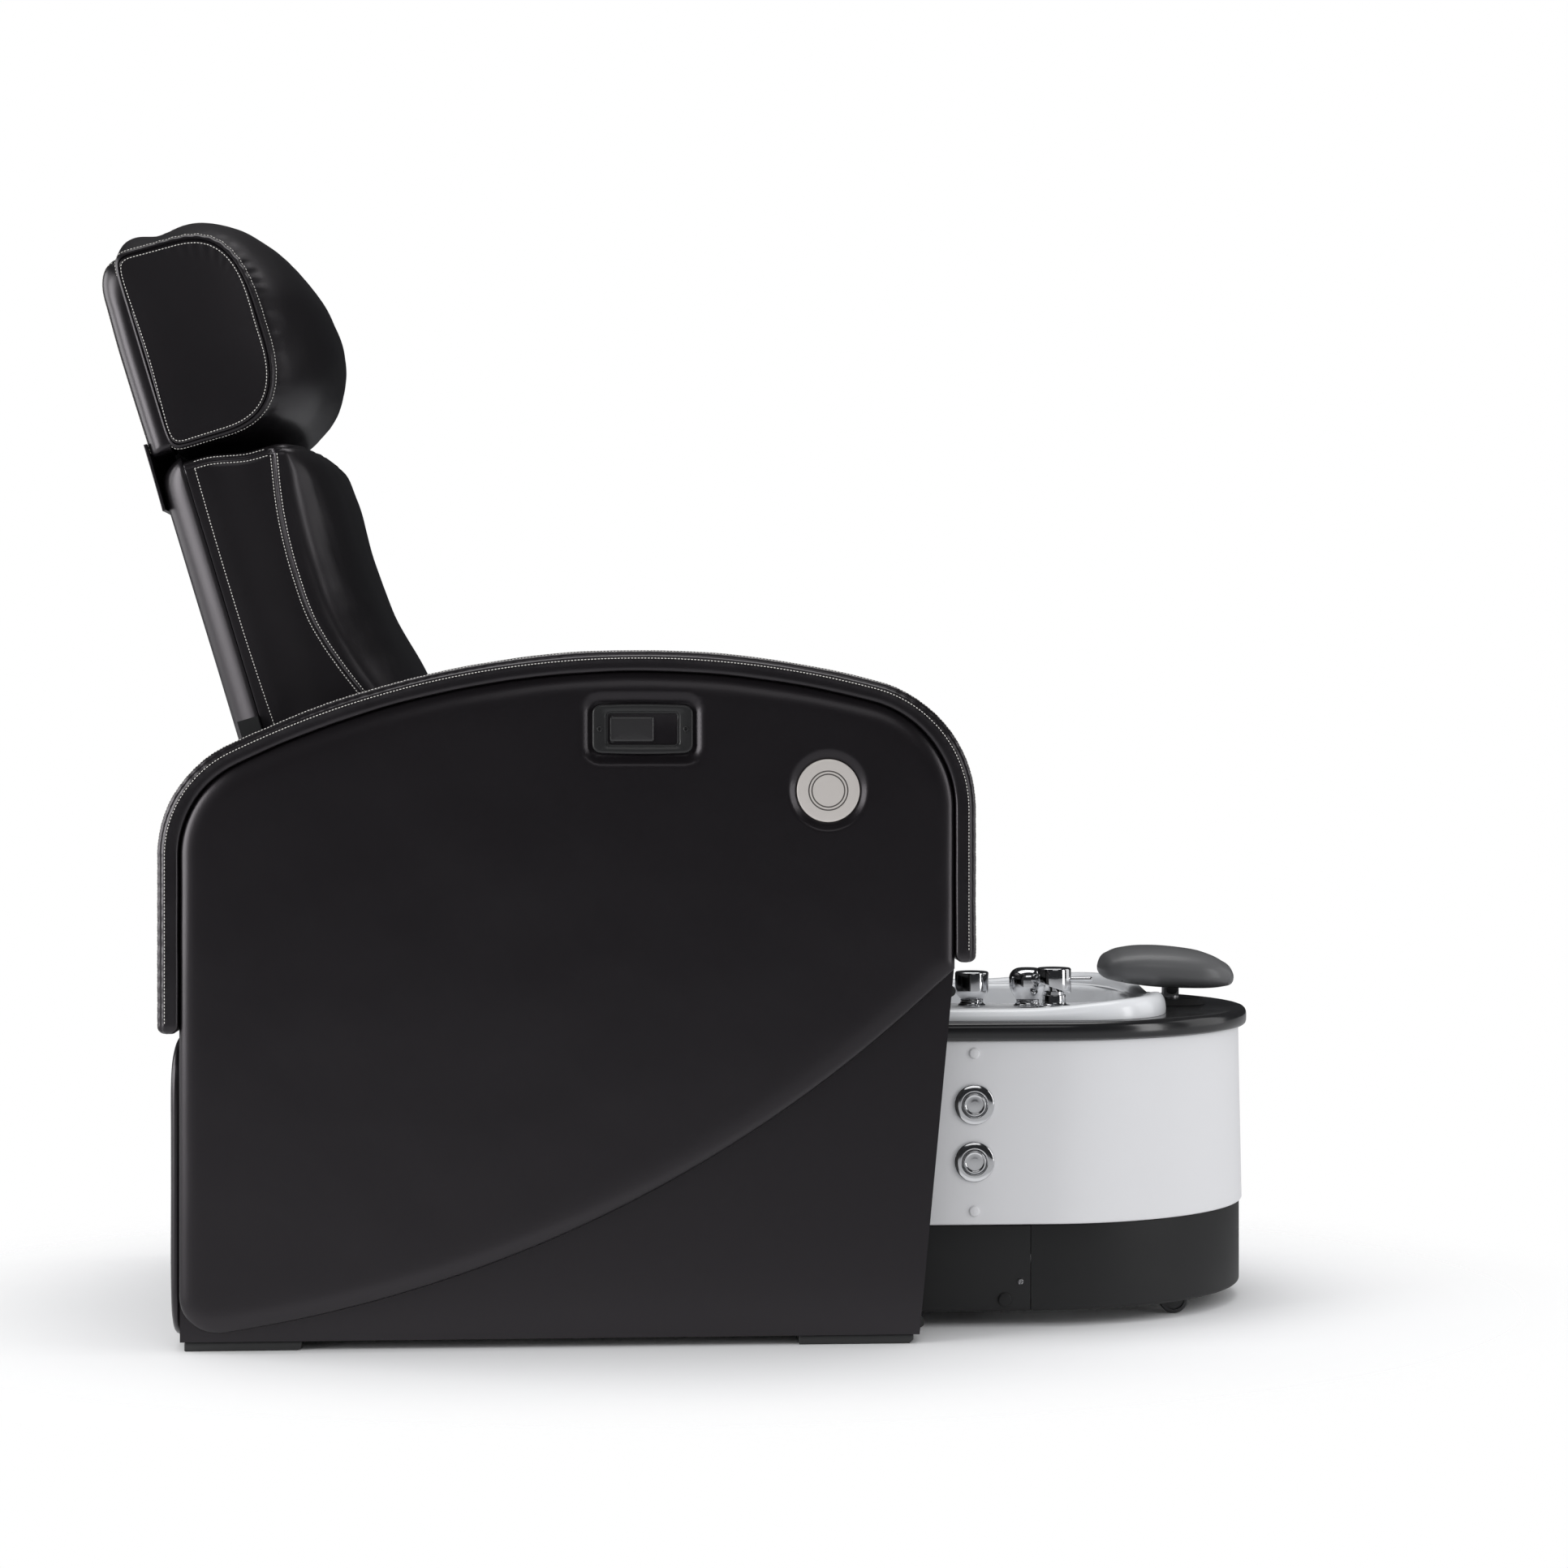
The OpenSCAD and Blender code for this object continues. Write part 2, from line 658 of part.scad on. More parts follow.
head_board_half = 215;
board_half = back_w / 2 - 24;

module back_board() color("burlywood") along_back() {
    translate([board_x, -board_half, 40]) cube([board_t, 2 * board_half, back_top - 46]);
    translate([board_x, -head_board_half, back_top - 8])
        cube([board_t, 2 * head_board_half, head_board - back_top + 8]);
}

// Rear shell of the back: a padded tray, open towards the board
module back_cover() color("#1b1b1e") along_back() difference() {
    half = back_w / 2 - 2;
    z0 = 36;
    h = back_top - z0;
    union() {
        translate([-back_rear, -half + 7, z0 + 7]) cube([7, 2 * half - 14, h - 14]);
        translate([-back_rear + 2, -half + 2.5, z0 + 2.5]) cube([5, 2 * half - 5, h - 5]);
        translate([-back_rear + 7 - 0.01, -half, z0])
            cube([shell_x - fit + back_rear - 7, 2 * half, h]);
    }
    translate([-back_rear + 6, -half + 21, z0 + 21])
        cube([shell_t, 2 * half - 42, h - 42]);
    translate([board_x - fit, -board_half - fit, 0])
        cube([shell_t, 2 * (board_half + fit), back_top + 10]);
    for (sy = [-1, 1]) translate([-back_rear + 6, sy * (half - 9) - 12, z0 - 1])
        cube([shell_t, 24, 206]);
}

// Side seam and crown of the back cushion at heights above the pivot
back_seam = [[0, 96], [110, 112], [190, 106], [280, 76], [330, 63], [400, 58], [480, 62], [572, 78]];
back_crown = [[0, 150], [40, 172], [150, 178], [240, 166], [330, 147], [400, 140], [500, 141],
    [540, 136], [572, 114]];

module back_cushion() color("#222225") along_back() {
    heights = [back_low, back_low + 3, back_low + 12, back_low + 34, 110, 170, 230, 290, 350, 410,
        470, 520, back_top - 24, back_top - 9, back_top - 2, back_top];
    skin([for (z = heights)
        let (end_gap = min(z - back_low, back_top - z),
            round_in = 16 * pow(max(0, 1 - end_gap / 14), 2),
            seam = lookup(z, back_seam) - round_in,
            crown = lookup(z, back_crown) - 1.4 * round_in,
            draw = 5 * sin(180 * (z - back_low) / (back_top - back_low)))
        [for (p = cushion_section(back_w / 2 - draw - round_in / 2, shell_x + fit, seam, crown))
            [p.y, p.x, z]]]);
}

// Headrest stations: place across the width, draw-in of its ends, share of the crown
head_stations = [[-1, 12, 0], [-0.985, 3, 0], [-0.95, 0, 0.1], [-0.86, 0, 0.36], [-0.7, 0, 0.66],
    [-0.5, 0, 0.86], [-0.25, 0, 0.97], [0, 0, 1], [0.25, 0, 0.97], [0.5, 0, 0.86], [0.7, 0, 0.66],
    [0.86, 0, 0.36], [0.95, 0, 0.1], [0.985, 3, 0], [1, 12, 0]];
head_mid = 55;
head_depth = 146;
crown_up = 46;
crown_down = 14;
head_top = head_low + head_l;
head_belly = head_low + 0.47 * head_l;

// Point of the pillow's section at angle t: square behind, round in front, fullest low down
function head_point(t, share, in) =
    let (ahead = abs(t - 180) > 90, above = t < 180)
    super(ahead ? head_depth - head_mid - in + head_crown * share : head_mid - in,
        above ? head_top - head_belly - in + crown_up * share
            : head_belly - head_low - in + crown_down * share,
        t, !ahead ? 7 : above ? 3.1 - 1.3 * share : 2.7 - 0.4 * share);

// Pillow of the headrest, fuller towards its middle, square against the sleeve
module headrest_pillow() color("#222225") along_back() {
    half_w = back_w / 2 - 2;
    skin([for (s = head_stations)
        [for (t = [0:15:345]) let (p = head_point(t, s[2], s[1]))
            [shell_x + fit + head_mid + p.x, half_w * s[0], head_belly + p.y]]]);
}

// Rear half of the headrest: slides over the head board, with a flap below
module headrest_sleeve() color("#1b1b1e") along_back() {
    half = back_w / 2 - 3;
    flap_t = 5;
    round_r = 40;
    difference() {
        skin([for (s = head_stations)
            let (in = s[1] * 0.7, top = head_top - 3 + (crown_up - 8) * s[2] - in)
            [for (p = concat([[shell_x, head_low + in], [shell_x, top]],
                arc([-back_rear + round_r + in, top - round_r], round_r, 90, 180, 6),
                [[-back_rear + in, head_low + 6 + in], [-back_rear + 6 + in, head_low + in]]))
                [p.x, half * s[0], p.y]]]);
        translate([board_x - fit, -head_board_half - fit, head_low - 1])
            cube([shell_t, 2 * (head_board_half + fit), head_board - head_low + 1 + fit]);
    }
    translate([-back_rear - flap_t - fit, -half + 10, head_low - flap_l])
        cube([flap_t, 2 * half - 20, flap_l + 20]);
    translate([-back_rear - flap_t - fit, -half + 14, head_low + 8])
        cube([flap_t + fit + 2, 2 * half - 28, 12]);
}

// -------------------------------------------------------------------- tub shells

nose_x = front_x + tub_reach;
tub_x0 = nose_x - tub_l;
tub_xs = nose_x - nose_l;
tub_half = tub_w / 2;
rim_top = rim_z + rim_t;

// Plan of the tub at an inset from the rim: straight sides and a half-round nose
function tub_plan(i, back = 0) = concat(
    [[tub_x0 + back, -(tub_half - i)]],
    [for (k = [-12:12]) [tub_xs + (nose_l - i) * cos(k * 7.5), (tub_half - i) * sin(k * 7.5)]],
    [[tub_x0 + back, tub_half - i]]);

module tub_ring(i, t, z0, z1, back = 0) {
    translate([0, 0, z0]) linear_extrude(z1 - z0) difference() {
        polygon(tub_plan(i, back));
        polygon(concat([[tub_x0 - 10, -(tub_half - i - t)]], tub_plan(i + t),
            [[tub_x0 - 10, tub_half - i - t]]));
    }
}

button_x = nose_x - button_back;
button_zs = [button_z, button_z - button_gap];
cap_zs = [rim_z - 16, skirt_z + 18];
neck_d = button_cap_d - 4;

module skirt() color("white") difference() {
    tub_ring(skirt_in, wall, skirt_z + fit, rim_z - fit);
    for (z = button_zs) translate([button_x, 0, z])
        y_rod(neck_d + 6, -tub_half, -tub_half + skirt_in + wall + 1);
    for (z = cap_zs, sy = [-1, 1]) translate([button_x, sy * (tub_half - skirt_in - wall / 2), z])
        y_rod(4, -wall, wall, 32);
}

kick_joint = nose_x - kick_front_l;
kick_lip = 6;

// Kick wall with a turned-in lower lip
module kick_wall() {
    tub_ring(kick_in, wall, kick_z, skirt_z);
    tub_ring(kick_in, kick_lip, kick_z, kick_z + wall);
}

kick_screw_x = kick_joint - 13;
kick_screw_z = kick_z + 38;
kick_cap_x = kick_joint - 33;
kick_cap_z = kick_z + 15;
kick_y = tub_half - kick_in;

module kick_holes() {
    for (sy = [-1, 1]) {
        translate([kick_screw_x, sy * kick_y, kick_screw_z]) y_rod(4, -8, 8, 32);
        translate([kick_cap_x, sy * kick_y, kick_cap_z]) y_rod(8, -8, 8, 32);
    }
}

module kick_front() color("#161617") intersection() {
    kick_wall();
    translate([kick_joint + fit, -tub_half, 0]) cube([nose_l + 100, tub_w, skirt_z]);
}

module kick_side(side) color("#161617") intersection() {
    difference() {
        kick_wall();
        kick_holes();
    }
    on_side(side) translate([tub_x0, 0, 0]) cube([kick_joint - tub_x0, tub_half, skirt_z]);
}

module skirt_caps() color("white")
    for (z = cap_zs, side = ["left", "right"]) on_side(side)
        translate([button_x, tub_half - skirt_in, z]) {
            rotate([-90, 0, 0]) rotate_extrude($fn = 48)
                polygon([[0, 0], [7, 0], [7, 1.4], [5.6, 2.8], [0, 3.4]]);
            y_rod(3.8, -wall - 8, 0.5, 32);
        }

module kick_screws() color("#55565a")
    for (side = ["left", "right"]) on_side(side) {
        translate([kick_screw_x, kick_y, kick_screw_z]) {
            y_rod(8, 0, 2, 32);
            y_rod(3.8, -12, 0.5, 32);
        }
        translate([kick_cap_x, kick_y, kick_cap_z]) {
            y_rod(18, 0, 3, 48);
            y_rod(7.6, -10, 0.5, 32);
        }
    }

// Frame inside the tub: a stepped ring behind the panels, and two cross bars
frame_t = 22;
bar_z = 92;
front_axle_x = nose_x - wheel_front;
rear_axle_x = tub_x0 + wheel_rear;

module tub_frame() color("#3a3a3d") difference() {
    union() {
        tub_ring(kick_in + wall + fit, frame_t, bar_z, skirt_z + 1);
        tub_ring(skirt_in + wall + fit, frame_t, skirt_z + fit, skirt_z + 30);
        for (x = [front_axle_x, rear_axle_x]) intersection() {
            translate([x - 30, -tub_half, bar_z]) cube([60, tub_w, 12]);
            translate([0, 0, bar_z]) linear_extrude(12) polygon(tub_plan(kick_in + wall + fit));
        }
        translate([tub_x0, -kick_y + wall + fit, bar_z])
            cube([frame_t, 2 * (kick_y - wall - fit), skirt_z + 30 - bar_z]);
        translate([tub_x0, bowl_y - pump_d / 2, skirt_z + 26]) cube([pump_l, pump_d, 4]);
    }
    for (z = cap_zs, sy = [-1, 1]) translate([button_x, sy * (tub_half - skirt_in - wall), z])
        y_rod(4, -10, 10, 32);
}

// Outline of the opening in the rim, which the basin's lip covers
lip_w = 22;
open_in = 28;
open_front = 125;
lip_rise = 15;
basin_x1 = nose_x - open_front;
basin_a = basin_x1 - tub_xs;
basin_half = tub_half - open_in;

basin_r = 30;
side_step = 55;
heel_x = tub_x0 + open_in + basin_r;

// Quarter corner of the basin's plan at its heel end, on the side sy
function heel_corner(i, sy) =
    [for (k = [0:4]) let (a = 90 + (sy > 0 ? k : 4 - k) * 22.5)
        [heel_x + (basin_r - i) * cos(a), sy * (basin_half - basin_r + (basin_r - i) * sin(a))]];

// Plan of the basin at an inset from its opening
function basin_plan(i) = concat(
    [for (k = [-12:12]) let (p = super(basin_a - i, basin_half - i, k * 7.5, 2.6)) [tub_xs + p.x, p.y]],
    [for (x = [1, 2]) [tub_xs - x * side_step, basin_half - i]],
    heel_corner(i, 1), heel_corner(i, -1),
    [for (x = [2, 1]) [tub_xs - x * side_step, i - basin_half]]);

module rim() color("#0c0c0d") difference() {
    union() {
        for (s = [[0, 3, 1], [3, 0, 2], [rim_t - 4, 1, 2], [rim_t - 2, 3.5, 2]])
            translate([0, 0, rim_z + s[0]]) linear_extrude(s[2] + (s[0] == 3 ? rim_t - 9 : 0))
                polygon(tub_plan(s[1], s[1]));
        translate([0, 0, rim_z + 1 - 0.01]) linear_extrude(2.02) polygon(tub_plan(1.2, 1.2));
    }
    translate([0, 0, rim_z - 1]) linear_extrude(rim_t + 2) polygon(basin_plan(0));
    translate([nose_x - rest_back, 0, rim_z - 1]) cylinder(d = post_d + 11, h = rim_t + 2, $fn = 64);
}

// Bowl of the basin, beside the shelf that carries the fittings
bowl_x0 = tub_x0 + 135;
bowl_x1 = basin_x1 - lip_w - 8;
bowl_y1 = basin_half - lip_w - 8;
shelf_w = 126;
bowl_y0 = shelf_w - bowl_y1;
heel_r = 80;
toe_r = 110;
floor_r = 50;
bowl_draft = 20;
lip_top = rim_top + lip_h;
deck_top = rim_top + 10;
bowl_z = lip_top - bowl_depth;

// Plan of the bowl at an inset from its upper edge
function bowl_plan(i) = concat(
    arc([bowl_x1 - toe_r, bowl_y0 + toe_r], toe_r - i, -90, 0, 7),
    arc([bowl_x1 - toe_r, bowl_y1 - toe_r], toe_r - i, 0, 90, 7),
    arc([bowl_x0 + heel_r, bowl_y1 - heel_r], heel_r - i, 90, 180, 6),
    arc([bowl_x0 + heel_r, bowl_y0 + heel_r], heel_r - i, 180, 270, 6));

// Bowl's form, grown outwards by the wall; top is where it ends above
module bowl_form(grow, top) {
    levels = concat(
        [[top, -grow], [deck_top - basin_wall, -grow]],
        [for (k = [0:6]) let (a = k * 15, r = floor_r + grow)
            [bowl_z + floor_r - r * sin(a), bowl_draft - grow + r * (1 - cos(a))]]);
    skin([for (s = levels) [for (q = bowl_plan(s[1])) [q.x, q.y, s[0]]]]);
}

// Share of a rise that starts at t = 0 and is complete at t = 1, without a kink
function ease(t) = let (u = min(1, max(0, t))) u * u * (3 - 2 * u);

// Rolled lip of the basin, raised at the shoulders of its toe end
lip_section = [[-8, 0], [-8, 0.3], [-6.5, 0.62], [-3, 0.88], [1.5, 1], [9, 1], [13.5, 0.88],
    [16, 0.6], [17, 0.2], [17, 0]];

module basin_lip() {
    rise_back = 100;
    rise_run = 230;
    rise_half = 150;
    low = rim_top + fit;
    loops = [for (k = [0:len(basin_plan(0)) - 1]) let (at = basin_plan(0)[k],
            up = lip_rise * ease((at.x - tub_xs + rise_back) / rise_run) * ease(abs(at.y) / rise_half))
        [for (s = lip_section) let (p = basin_plan(s[0])[k])
            [p.x, p.y, low + s[1] * (lip_h - fit + up)]]];
    n = len(lip_section);
    m = len(loops);
    polyhedron([for (loop = loops) each loop],
        [for (i = [0:m - 1], j = [0:n - 1])
            let (a = i * n + j, b = i * n + (j + 1) % n, c = ((i + 1) % m) * n + j,
                d = ((i + 1) % m) * n + (j + 1) % n)
            each [[a, b, d], [a, d, c]]], convexity = 6);
}

mixer_at = [nose_x - mixer_back, -(tub_half - mixer_in)];
sprayer_at = [nose_x - sprayer_back, -(tub_half - sprayer_in)];
spout_at = [nose_x - spout_back, -(tub_half - spout_in)];
neck_hole = 20;
bowl_y = (bowl_y0 + bowl_y1) / 2;
drain_at = [(bowl_x0 + bowl_x1) / 2, bowl_y];
drain_d = 40;
tail_d = drain_d - 4;
jet_pipe = 22;
jet_d = 56;
jet_lean = atan(bowl_draft / (deck_top - basin_wall - bowl_z - floor_r));

// Places what is drawn along X on the bowl's drafted heel wall, at the pump
module at_jet() {
    translate([bowl_x0 + (deck_top - basin_wall - pump_z) * tan(jet_lean), bowl_y, pump_z])
        rotate([0, -jet_lean, 0]) children();
}

module basin() color("#f4f5f6") difference() {
    union() {
        bowl_form(basin_wall, deck_top);
        translate([0, 0, deck_top - basin_wall]) linear_extrude(basin_wall) polygon(basin_plan(lip_w / 2));
        translate([0, 0, rim_z + 4]) linear_extrude(rim_top - rim_z) difference() {
            polygon(basin_plan(fit));
            polygon(basin_plan(fit + basin_wall));
        }
        basin_lip();
    }
    bowl_form(0, deck_top + 1);
    for (p = [mixer_at, sprayer_at, spout_at]) translate([p.x, p.y, rim_z])
        cylinder(d = neck_hole, h = 60, $fn = 48);
    translate([drain_at.x, drain_at.y, bowl_z - 20]) cylinder(d = drain_d, h = 60, $fn = 48);
    at_jet() x_rod(jet_pipe + 2, -basin_wall - 5, 5);
}

// ------------------------------------------------------------------ tub fittings

bezel_y = tub_half - skirt_in;
button_proud = 7;

module button_bezels() color("#d9dadc") on_side("right")
    for (z = button_zs) translate([button_x, bezel_y, z]) rotate([-90, 0, 0])
        rotate_extrude($fn = 72) polygon([
            [button_cap_d / 2 + 0.4, -wall - 14], [neck_d / 2 + 3 - 0.4, -wall - 14],
            [neck_d / 2 + 2.6, 0], [button_d / 2, 0], [button_d / 2, 2], [button_d / 2 - 3, 4.5],
            [button_d / 2 - 6, 4], [button_cap_d / 2 + 3, 5.5], [button_cap_d / 2 + 0.4, 5]]);

module push_button(z) color("#cfd0d3") on_side("right")
    translate([button_x, bezel_y, z]) rotate([-90, 0, 0])
        rotate_extrude($fn = 64) polygon([[0, -wall - 8], [button_cap_d / 2, -wall - 8],
            [button_cap_d / 2, button_proud - 1], [button_cap_d / 2 - 1.2, button_proud],
            [button_cap_d / 2 - 4, button_proud], [button_cap_d / 2 - 6, button_proud - 0.8],
            [0, button_proud - 0.4]]);

axle_z = wheel_d / 2;
fork_gap = wheel_w + 2;
fork_t = 2.5;
top_l = 30;

module casters() color("#8d8f93")
    for (x = [front_axle_x, rear_axle_x], sy = [-1, 1])
        translate([x, sy * (tub_half - wheel_in), 0]) {
            for (s = [-1, 1]) translate([0, s * (fork_gap + fork_t) / 2 - fork_t / 2, 0])
                difference() {
                    union() {
                        translate([0, 0, axle_z]) y_rod(18, 0, fork_t);
                        translate([-9, 0, axle_z]) cube([18, fork_t, bar_z - axle_z - 1]);
                    }
                    translate([0, 0, axle_z]) y_rod(axle_d, -1, fork_t + 1);
                }
            translate([-top_l / 2, -fork_gap / 2 - fork_t - 4, bar_z - 4 - fit])
                cube([top_l, fork_gap + 2 * fork_t + 8, 4]);
            translate([0, 0, axle_z]) {
                y_rod(axle_d, -fork_gap / 2 - fork_t - 2, fork_gap / 2 + fork_t + 2);
                for (s = [-1, 1]) translate([0, s * (fork_gap / 2 + fork_t + 2) - 1, 0])
                    y_rod(axle_d + 4, 0, 2);
            }
        }

module wheel_pair(x) color("#2a2a2c")
    for (sy = [-1, 1]) translate([x, sy * (tub_half - wheel_in), axle_z]) rotate([-90, 0, 0])
        rotate_extrude($fn = 64) let (r = wheel_d / 2, b = axle_d / 2 + running, w = wheel_w / 2)
            polygon([[b, -w], [b + 4, -w], [b + 4, -w + 4], [r - 5, -w + 4], [r - 5, -w + 1],
                [r - 1.5, -w + 1], [r, -w + 3], [r, w - 3], [r - 1.5, w - 1], [r - 5, w - 1],
                [r - 5, w - 4], [b + 4, w - 4], [b + 4, w], [b, w]]);

bar_x0 = sleeve_x0 + 20;

module slide_bars() color("#9a9ca0")
    for (sy = [-1, 1]) translate([bar_x0, sy * sleeve_y - bar_size / 2,
            base_z + base_rail + sleeve_t + (sleeve_in - bar_size) / 2]) {
        cube([tub_x0 - fit - bar_x0, bar_size, bar_size]);
        translate([tub_x0 - fit - bar_x0 - 6, -12, -4]) cube([6, bar_size + 24, 60]);
    }

flange_h = 5;
base_top = 19;
shank_l = 30;
nut_d = 32;
nut_h = 8;

spigot_d = 16;
spigot_l = 12;

// Base of the mixer: flange, column with the turret's bore, shank and nut below the deck
module mixer_base() color("#d9dadc") translate([mixer_at.x, mixer_at.y, deck_top]) difference() {
    union() {
        translate([0, 0, fit]) cylinder(d1 = mixer_d + 5, d2 = mixer_d + 2, h = flange_h, $fn = 72);
        translate([0, 0, fit]) cylinder(d = 30, h = base_top - fit, $fn = 64);
        translate([0, 0, -shank_l]) cylinder(d = neck_hole - 1, h = shank_l + 2, $fn = 48);
        translate([0, 0, -basin_wall - nut_h - fit]) cylinder(d = nut_d, h = nut_h, $fn = 6);
    }
    translate([0, 0, base_top - spigot_l - fit])
        cylinder(d = spigot_d + 2 * running, h = spigot_l + 1, $fn = 64);
}

lever_z = mixer_h - 15;

module mixer_cartridge() color("#9a9ca0") translate([mixer_at.x, mixer_at.y, deck_top + base_top + fit])
    difference() {
        union() {
            cylinder(d = 26, h = 4, $fn = 48);
            cylinder(d = 14, h = lever_z - base_top + 5, $fn = 48);
            translate([0, 0, -spigot_l]) cylinder(d = spigot_d, h = spigot_l + 1, $fn = 64);
        }
        translate([0, 0, lever_z - base_top - fit]) y_rod(4 + 2 * running, -20, 20, 32);
    }

// Handle cap with its slanted lower edge and the straight lever
module mixer_handle() color("#d9dadc") translate([mixer_at.x, mixer_at.y, deck_top]) {
    difference() {
        translate([0, 0, base_top + 1]) cylinder(d = mixer_d, h = mixer_h - base_top - 1, $fn = 72);
        translate([0, 0, base_top]) cylinder(d = 28, h = mixer_h - base_top - 5, $fn = 48);
        translate([0, 0, base_top - 4]) rotate([0, 24, 0]) translate([-60, -40, -40]) cube([120, 80, 40 + 11]);
    }
    translate([0, 0, lever_z]) {
        x_rod(6, mixer_d / 2 - 2, mixer_d / 2 + 28);
        y_rod(4, -mixer_d / 2 + 2, mixer_d / 2 - 2, 32);
    }
}

collar_h = 10;
stem_d = 14;
stem_l = 24;

module deck_collars() color("#d9dadc")
    for (p = [sprayer_at, spout_at]) translate([p.x, p.y, deck_top]) difference() {
        union() {
            translate([0, 0, fit]) cylinder(d = 36, h = 3, $fn = 64);
            translate([0, 0, fit]) cylinder(d = 30, h = collar_h - fit, $fn = 64);
            translate([0, 0, -shank_l]) cylinder(d = neck_hole - 1, h = shank_l + 2, $fn = 48);
            translate([0, 0, -basin_wall - nut_h - fit]) cylinder(d = nut_d, h = nut_h, $fn = 6);
        }
        translate([0, 0, -shank_l - 1]) cylinder(d = stem_d, h = shank_l + collar_h + 2, $fn = 48);
    }

nozzle_l = 95;

module spout() color("#d9dadc") translate([spout_at.x, spout_at.y, deck_top]) {
    translate([0, 0, -stem_l]) cylinder(d = stem_d - 2 * running, h = stem_l + 16, $fn = 48);
    translate([0, 0, collar_h + fit]) cylinder(d1 = 32, d2 = spout_d, h = 8, $fn = 72);
    translate([0, 0, collar_h + 8]) cylinder(d = spout_d, h = 28, $fn = 72);
    translate([0, 0, collar_h + 20]) rotate([-8, 0, 0]) {
        y_rod(20, 0, nozzle_l);
        y_rod(23, nozzle_l - 16, nozzle_l - 2);
    }
}

sprayer_h = 50;
hose_d = 11;
hose_l = 165;

// Hand sprayer with its shank and the first length of its hose
module sprayer() color("#d9dadc") translate([sprayer_at.x, sprayer_at.y, deck_top]) {
    translate([0, 0, -stem_l]) cylinder(d = stem_d - 2 * running, h = stem_l + 16, $fn = 48);
    translate([0, 0, -hose_l]) cylinder(d = hose_d, h = hose_l, $fn = 48);
    rotate_extrude($fn = 72) let (r = sprayer_d / 2, h = sprayer_h, z = collar_h + fit)
        polygon(concat([[0, z], [r - 8, z], [r - 2, z + 12], [r, z + 18]],
            arc([r - 14, h - 14], 14, 0, 90, 6), [[0, h + 1]]));
}

tail_l = 20;

// Drain strainer with its hose tail, and jet cover on the bowl's heel wall
module basin_fittings() color("#c9cacd") {
    translate([drain_at.x, drain_at.y, bowl_z]) difference() {
        union() {
            translate([0, 0, 2 * fit]) cylinder(d = drain_d + 16, h = 3, $fn = 64);
            translate([0, 0, -basin_wall - 1]) cylinder(d = drain_d - 1, h = basin_wall + 3, $fn = 64);
            translate([0, 0, -basin_wall - 1 - tail_l]) cylinder(d = tail_d, h = tail_l + 1, $fn = 64);
        }
        translate([0, 0, -basin_wall - 2 - tail_l])
            cylinder(d = tail_d - 4, h = tail_l + basin_wall + 1, $fn = 48);
        for (a = [0:60:300], r = [6, 12]) rotate([0, 0, a + r * 5]) translate([r, 0, -4])
            cylinder(d = 4, h = 10, $fn = 24);
    }
    at_jet() difference() {
        union() {
            x_rod(jet_d, 3 * fit, 4.5);
            x_rod(jet_pipe, -8, 1);
        }
        for (a = [0:45:315]) rotate([a, 0, 0]) translate([0, 0, 17]) x_rod(6, -1, 5);
    }
}

pump_d = 96;
pump_l = 110;
pump_x = tub_x0 + 14;
pump_foot = 5;
pump_z = bowl_z + floor_r + jet_d / 2 + 8;

module jet_pump() color("#5b6a78") translate([pump_x, bowl_y, pump_z]) {
    foot_z = skirt_z + 30 + fit - pump_z;
    x_rod(pump_d, 0, pump_l - 36);
    x_rod(pump_d + 20, pump_l - 36.01, pump_l - 12);
    x_rod(jet_pipe + 8, pump_l - 13, pump_l - 6);
    for (x = [10, 50]) translate([x, -30, foot_z]) cube([6, 60, -foot_z]);
    translate([4, -40, foot_z]) cube([60, 80, pump_foot]);
}

// ----------------------------------------------------------------- foot rest

rest_x = nose_x - rest_back;
post_z0 = rim_top - 90;
tilt_z = rim_top + 21;
head_w = 20;
pad_shift = 12;
flange_d = 96;

module footrest_socket() color("#1a1a1b") translate([rest_x, 0, 0]) difference() {
    union() {
        translate([0, 0, rim_top + fit]) difference() {
            cylinder(d1 = flange_d, d2 = flange_d - 12, h = 8, $fn = 72);
            translate([basin_x1 + 10 - rest_x - flange_d, -flange_d, -1])
                cube([flange_d, 2 * flange_d, 10]);
        }
        translate([0, 0, rim_top - 80]) cylinder(d = post_d + 10, h = 82, $fn = 64);
    }
    translate([0, 0, rim_top - 81]) cylinder(d = post_d + 2 * running, h = 100, $fn = 64);
}

module footrest_post() color("#6d6f73") translate([rest_x, 0, 0]) difference() {
    union() {
        translate([0, 0, post_z0]) cylinder(d = post_d, h = tilt_z - head_w / 2 - post_z0, $fn = 64);
        translate([-head_w / 2, -head_w / 2, tilt_z - head_w / 2 - 0.5])
            cube([head_w, head_w, head_w / 2 + 0.5]);
        translate([0, 0, tilt_z]) y_rod(head_w, -head_w / 2, head_w / 2);
    }
    translate([0, 0, tilt_z]) y_rod(8 + 2 * running, -head_w, head_w);
}

plate_z = tilt_z + head_w / 2 + 2;
plate_t = 5;
plate_l = 124;
plate_w = 84;

module footrest_plate() color("#1a1a1b") translate([rest_x, 0, 0]) {
    translate([-plate_l / 2 - pad_shift, -plate_w / 2, plate_z]) cube([plate_l, plate_w, plate_t]);
    for (s = [-1, 1]) translate([0, s * (head_w / 2 + 0.5 + 3) - 3, 0]) {
        translate([-8, 0, tilt_z]) cube([16, 6, plate_z - tilt_z + 1]);
        translate([0, 0, tilt_z]) y_rod(16, 0, 6);
    }
    translate([0, 0, tilt_z]) y_rod(8, -head_w / 2 - 2, head_w / 2 + 2);
}

